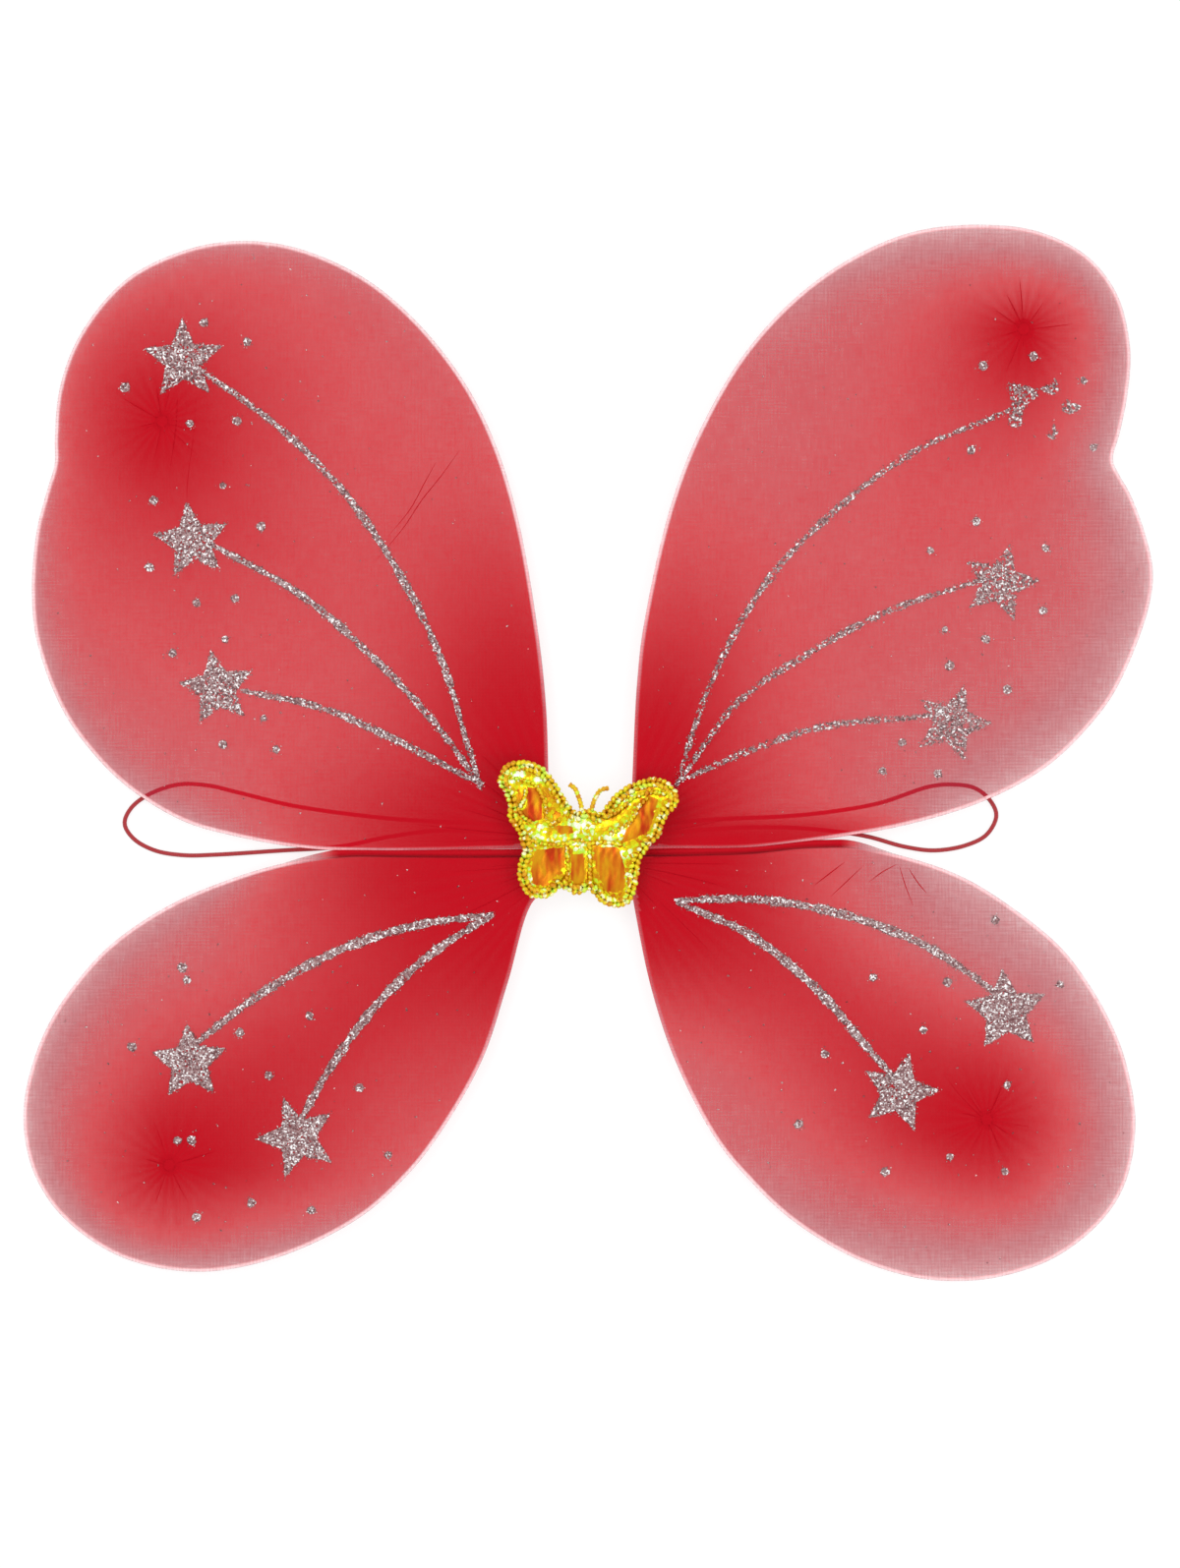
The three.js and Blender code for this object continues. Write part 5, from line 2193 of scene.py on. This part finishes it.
def upper_left(finishes: Finishes) -> Wing:
    """The upper left wing."""
    return Wing(
        Side.LEFT, Level.UPPER, 232, 253,
        (
            (0.024, 0.226), (0.04, 0.354), (0.081, 0.547), (0.129, 0.673), (0.189, 0.768),
            (0.282, 0.864),
            (0.376, 0.928), (0.5, 0.974), (0.606, 0.985), (0.707, 0.971), (0.82, 0.924),
            (0.908, 0.835),
            (0.947, 0.747), (0.956, 0.663), (0.956, 0.626), (0.972, 0.578), (0.991, 0.515),
            (1, 0.419),
            (0.991, 0.337), (0.945, 0.23), (0.895, 0.166), (0.82, 0.101), (0.713, 0.045),
            (0.612, 0.02),
            (0.475, 0), (0.351, -0.004), (0.234, -0.003), (0.095, 0),
        ),
        Gather(178.5, 175, 36, 38, 42, 48, 0.05),
        Drape(93, 64, 45, 24, 22, 20),
        Motif(
            (Star(169.5, 200.5, 2, 17.4), Star(166, 125, 8, 16.5), Star(155.5, 63.5, 9, 16.3)),
            (
                ((159, 194), (127, 170), (100, 142), (77, 107), (61, 73), (51, 40), (45.5, 22.5)),
                ((155, 122), (120, 102), (89, 75), (63, 47), (46.5, 24)),
                ((141, 61.5), (114, 56), (85, 44), (56, 29), (45.5, 24)),
            ),
            (
                (194, 189), (167, 174), (147, 175), (143, 208), (161, 216), (153, 148), (182, 142),
                (137, 131), (184, 114), (164, 99), (148, 101), (152, 84), (174, 78), (136, 51),
                (153, 40), (131, 38),
            ),
            worn=0.14,
        ),
        finishes, 11, (4.0, -2.5),
        creases=(
            ((54, 163), (62, 152), (70, 142), (78, 130), (90, 116)),
            ((64, 158), (69, 149), (75, 138), (84, 127)),
            ((164, 186), (165.5, 168), (168, 148), (168, 138)),
            ((172, 186), (173, 170), (175, 156)),
        ),
    )


def upper_right(finishes: Finishes) -> Wing:
    """The upper right wing."""
    return Wing(
        Side.RIGHT, Level.UPPER, 234, 256,
        (
            (0.029, 0.255), (0.041, 0.35), (0.09, 0.539), (0.145, 0.664), (0.231, 0.791),
            (0.332, 0.885),
            (0.437, 0.948), (0.553, 0.989), (0.681, 1), (0.787, 0.989), (0.879, 0.949),
            (0.934, 0.887),
            (0.957, 0.802), (0.952, 0.732), (0.937, 0.668), (0.924, 0.624), (0.939, 0.595),
            (0.956, 0.57),
            (0.984, 0.508), (1, 0.445), (0.991, 0.383), (0.932, 0.258), (0.879, 0.196),
            (0.8, 0.132),
            (0.688, 0.079), (0.533, 0.038), (0.344, 0.011), (0.234, 0.001), (0.096, 0),
        ),
        Gather(181, 213.5, 19, 27, 14, 38, 0.04),
        Drape(93, 54, 38, 66, 6, 46),
        Motif(
            (Star(171, 107.5, -15), Star(151, 49, -18)),
            (
                ((36, 23), (50, 65), (73, 107), (102.5, 138), (135, 162), (172, 178)),
                ((36, 23), (62, 58), (91, 78), (125, 96), (158, 107)),
                ((37, 24.5), (64, 36.5), (95, 47), (136.5, 51.5)),
            ),
            (
                (164, 198), (185, 202), (206, 192), (159, 163), (210, 164), (161, 133), (142, 121),
                (190, 122), (189, 96), (165, 84), (148, 88), (150, 73), (174, 63), (130, 41),
                (122, 29), (145, 28),
            ),
            1.3,
            (
                (
                    (174.3, 190.8), (180.5, 190), (187.2, 188.4), (186.6, 185), (183, 182.4),
                    (180.6, 179),
                    (180, 175.6), (180.6, 172.8), (175.6, 172.5), (174.3, 175.6), (176.2, 178.6),
                    (175.4, 182.6), (174.8, 186.6),
                ),
                (
                    (187.2, 188.6), (192.6, 190.4), (193.4, 193.2), (195.2, 190.6), (195.8, 188),
                    (193.8, 185.8), (190, 186.8),
                ),
                (
                    (196.6, 182), (198.9, 183.6), (205.2, 181.1), (203, 178.8), (199.5, 177.6),
                    (197, 179.6),
                ),
                ((193.4, 174), (195.2, 170.2), (193.2, 166.8), (190.6, 168.8)),
            ),
            0.40,
        ),
        finishes, 23, (4.0, -2.5),
    )


def lower_left(finishes: Finishes) -> Wing:
    """The lower left wing."""
    return Wing(
        Side.LEFT, Level.LOWER, 235.3, 179,
        (
            (0.027, 0), (0.16, 0.002), (0.298, 0.001), (0.4, 0.001), (0.501, 0.019), (0.603, 0.056),
            (0.727, 0.123), (0.837, 0.218), (0.904, 0.311), (0.952, 0.404), (0.983, 0.499),
            (1, 0.599),
            (0.998, 0.687), (0.977, 0.779), (0.927, 0.871), (0.819, 0.965), (0.678, 1),
            (0.526, 0.965),
            (0.375, 0.871), (0.291, 0.777), (0.23, 0.681), (0.145, 0.494), (0.096, 0.305),
            (0.052, 0.115),
        ),
        Gather(175.5, -135.5, 14, 50, 30, 13, 0.40),
        Drape(93, 66, 6, 34, 24, 32),
        Motif(
            (Star(167, -92.5, 3, 16.2), Star(122.1, -124, 19, 17.6)),
            (
                ((41, -31), (71, -35), (103, -45), (136, -63), (161, -82)),
                ((41, -31), (66, -47), (88.5, -68), (106.5, -92), (119, -113.5)),
            ),
            (
                (168, -58), (170, -53), (191, -86), (146, -80), (117, -73), (134, -98), (96, -103),
                (84, -131), (166, -125), (172, -125), (164, -157), (141, -151), (116, -154),
            ),
            1.75,
        ),
        finishes, 37, (-6.5, -12.0),
    )


def lower_right(finishes: Finishes) -> Wing:
    """The lower right wing."""
    return Wing(
        Side.RIGHT, Level.LOWER, 226.7, 182.8,
        (
            (0.051, 0), (0.16, -0.003), (0.254, -0.007), (0.338, -0.018), (0.395, -0.021),
            (0.454, -0.02),
            (0.501, -0.008), (0.565, 0.011), (0.648, 0.046), (0.722, 0.095), (0.848, 0.212),
            (0.908, 0.304),
            (0.952, 0.397), (0.981, 0.488), (1, 0.627), (0.983, 0.763), (0.939, 0.854),
            (0.845, 0.945),
            (0.734, 0.991), (0.651, 1), (0.569, 0.991), (0.451, 0.944), (0.329, 0.853),
            (0.248, 0.76),
            (0.185, 0.668), (0.106, 0.484), (0.056, 0.299),
        ),
        Gather(165.6, -116.4, 21, 50, 27, 24, 0.45),
        Drape(112, 60, -4, 8, 12, 34),
        Motif(
            (Star(173.4, -71, 5, 17.5, 8.8), Star(129, -105, -14)),
            (
                ((36, -25), (69, -24.5), (106.5, -31), (140, -44), (166.5, -61.5)),
                ((37, -26), (66, -39), (94, -61.5), (114.5, -85), (124, -96)),
            ),
            (
                (169, -33), (118, -57), (149, -59), (196, -60), (139, -79), (98, -89), (174, -102),
                (87, -118), (150, -132), (173, -138), (123, -138),
            ),
            1.75,
        ),
        finishes, 41, (-6.5, -12.0),
        creases=(
            ((128, -9.8), (122, -13), (116, -17.4)),
            ((114, -10.4), (107, -17), (100, -23.6)),
            ((129, -10.6), (131, -17.4), (134.6, -27)),
            ((132.8, -11.6), (137, -18), (140.5, -22)),
            ((106, -9), (99.5, -14), (93, -19)),
            ((148, -98.5), (155, -107), (162, -114), (165, -117)),
            ((152, -96), (158, -106), (164, -115)),
        ),
    )


def main() -> None:
    """Build the wings, from the cords to the butterfly."""
    logging.basicConfig(level=logging.INFO, format="%(message)s")
    finishes = Finishes()
    Studio(finishes).build()
    ShoulderElastic(Side.LEFT, LEFT_ELASTIC, finishes).build()
    ShoulderElastic(Side.RIGHT, RIGHT_ELASTIC, finishes).build()
    for make in (lower_left, lower_right, upper_left, upper_right):
        make(finishes).build()
    Binding(finishes).build()
    FoilButterfly(finishes).build()


if __name__ == "__main__":
    main()
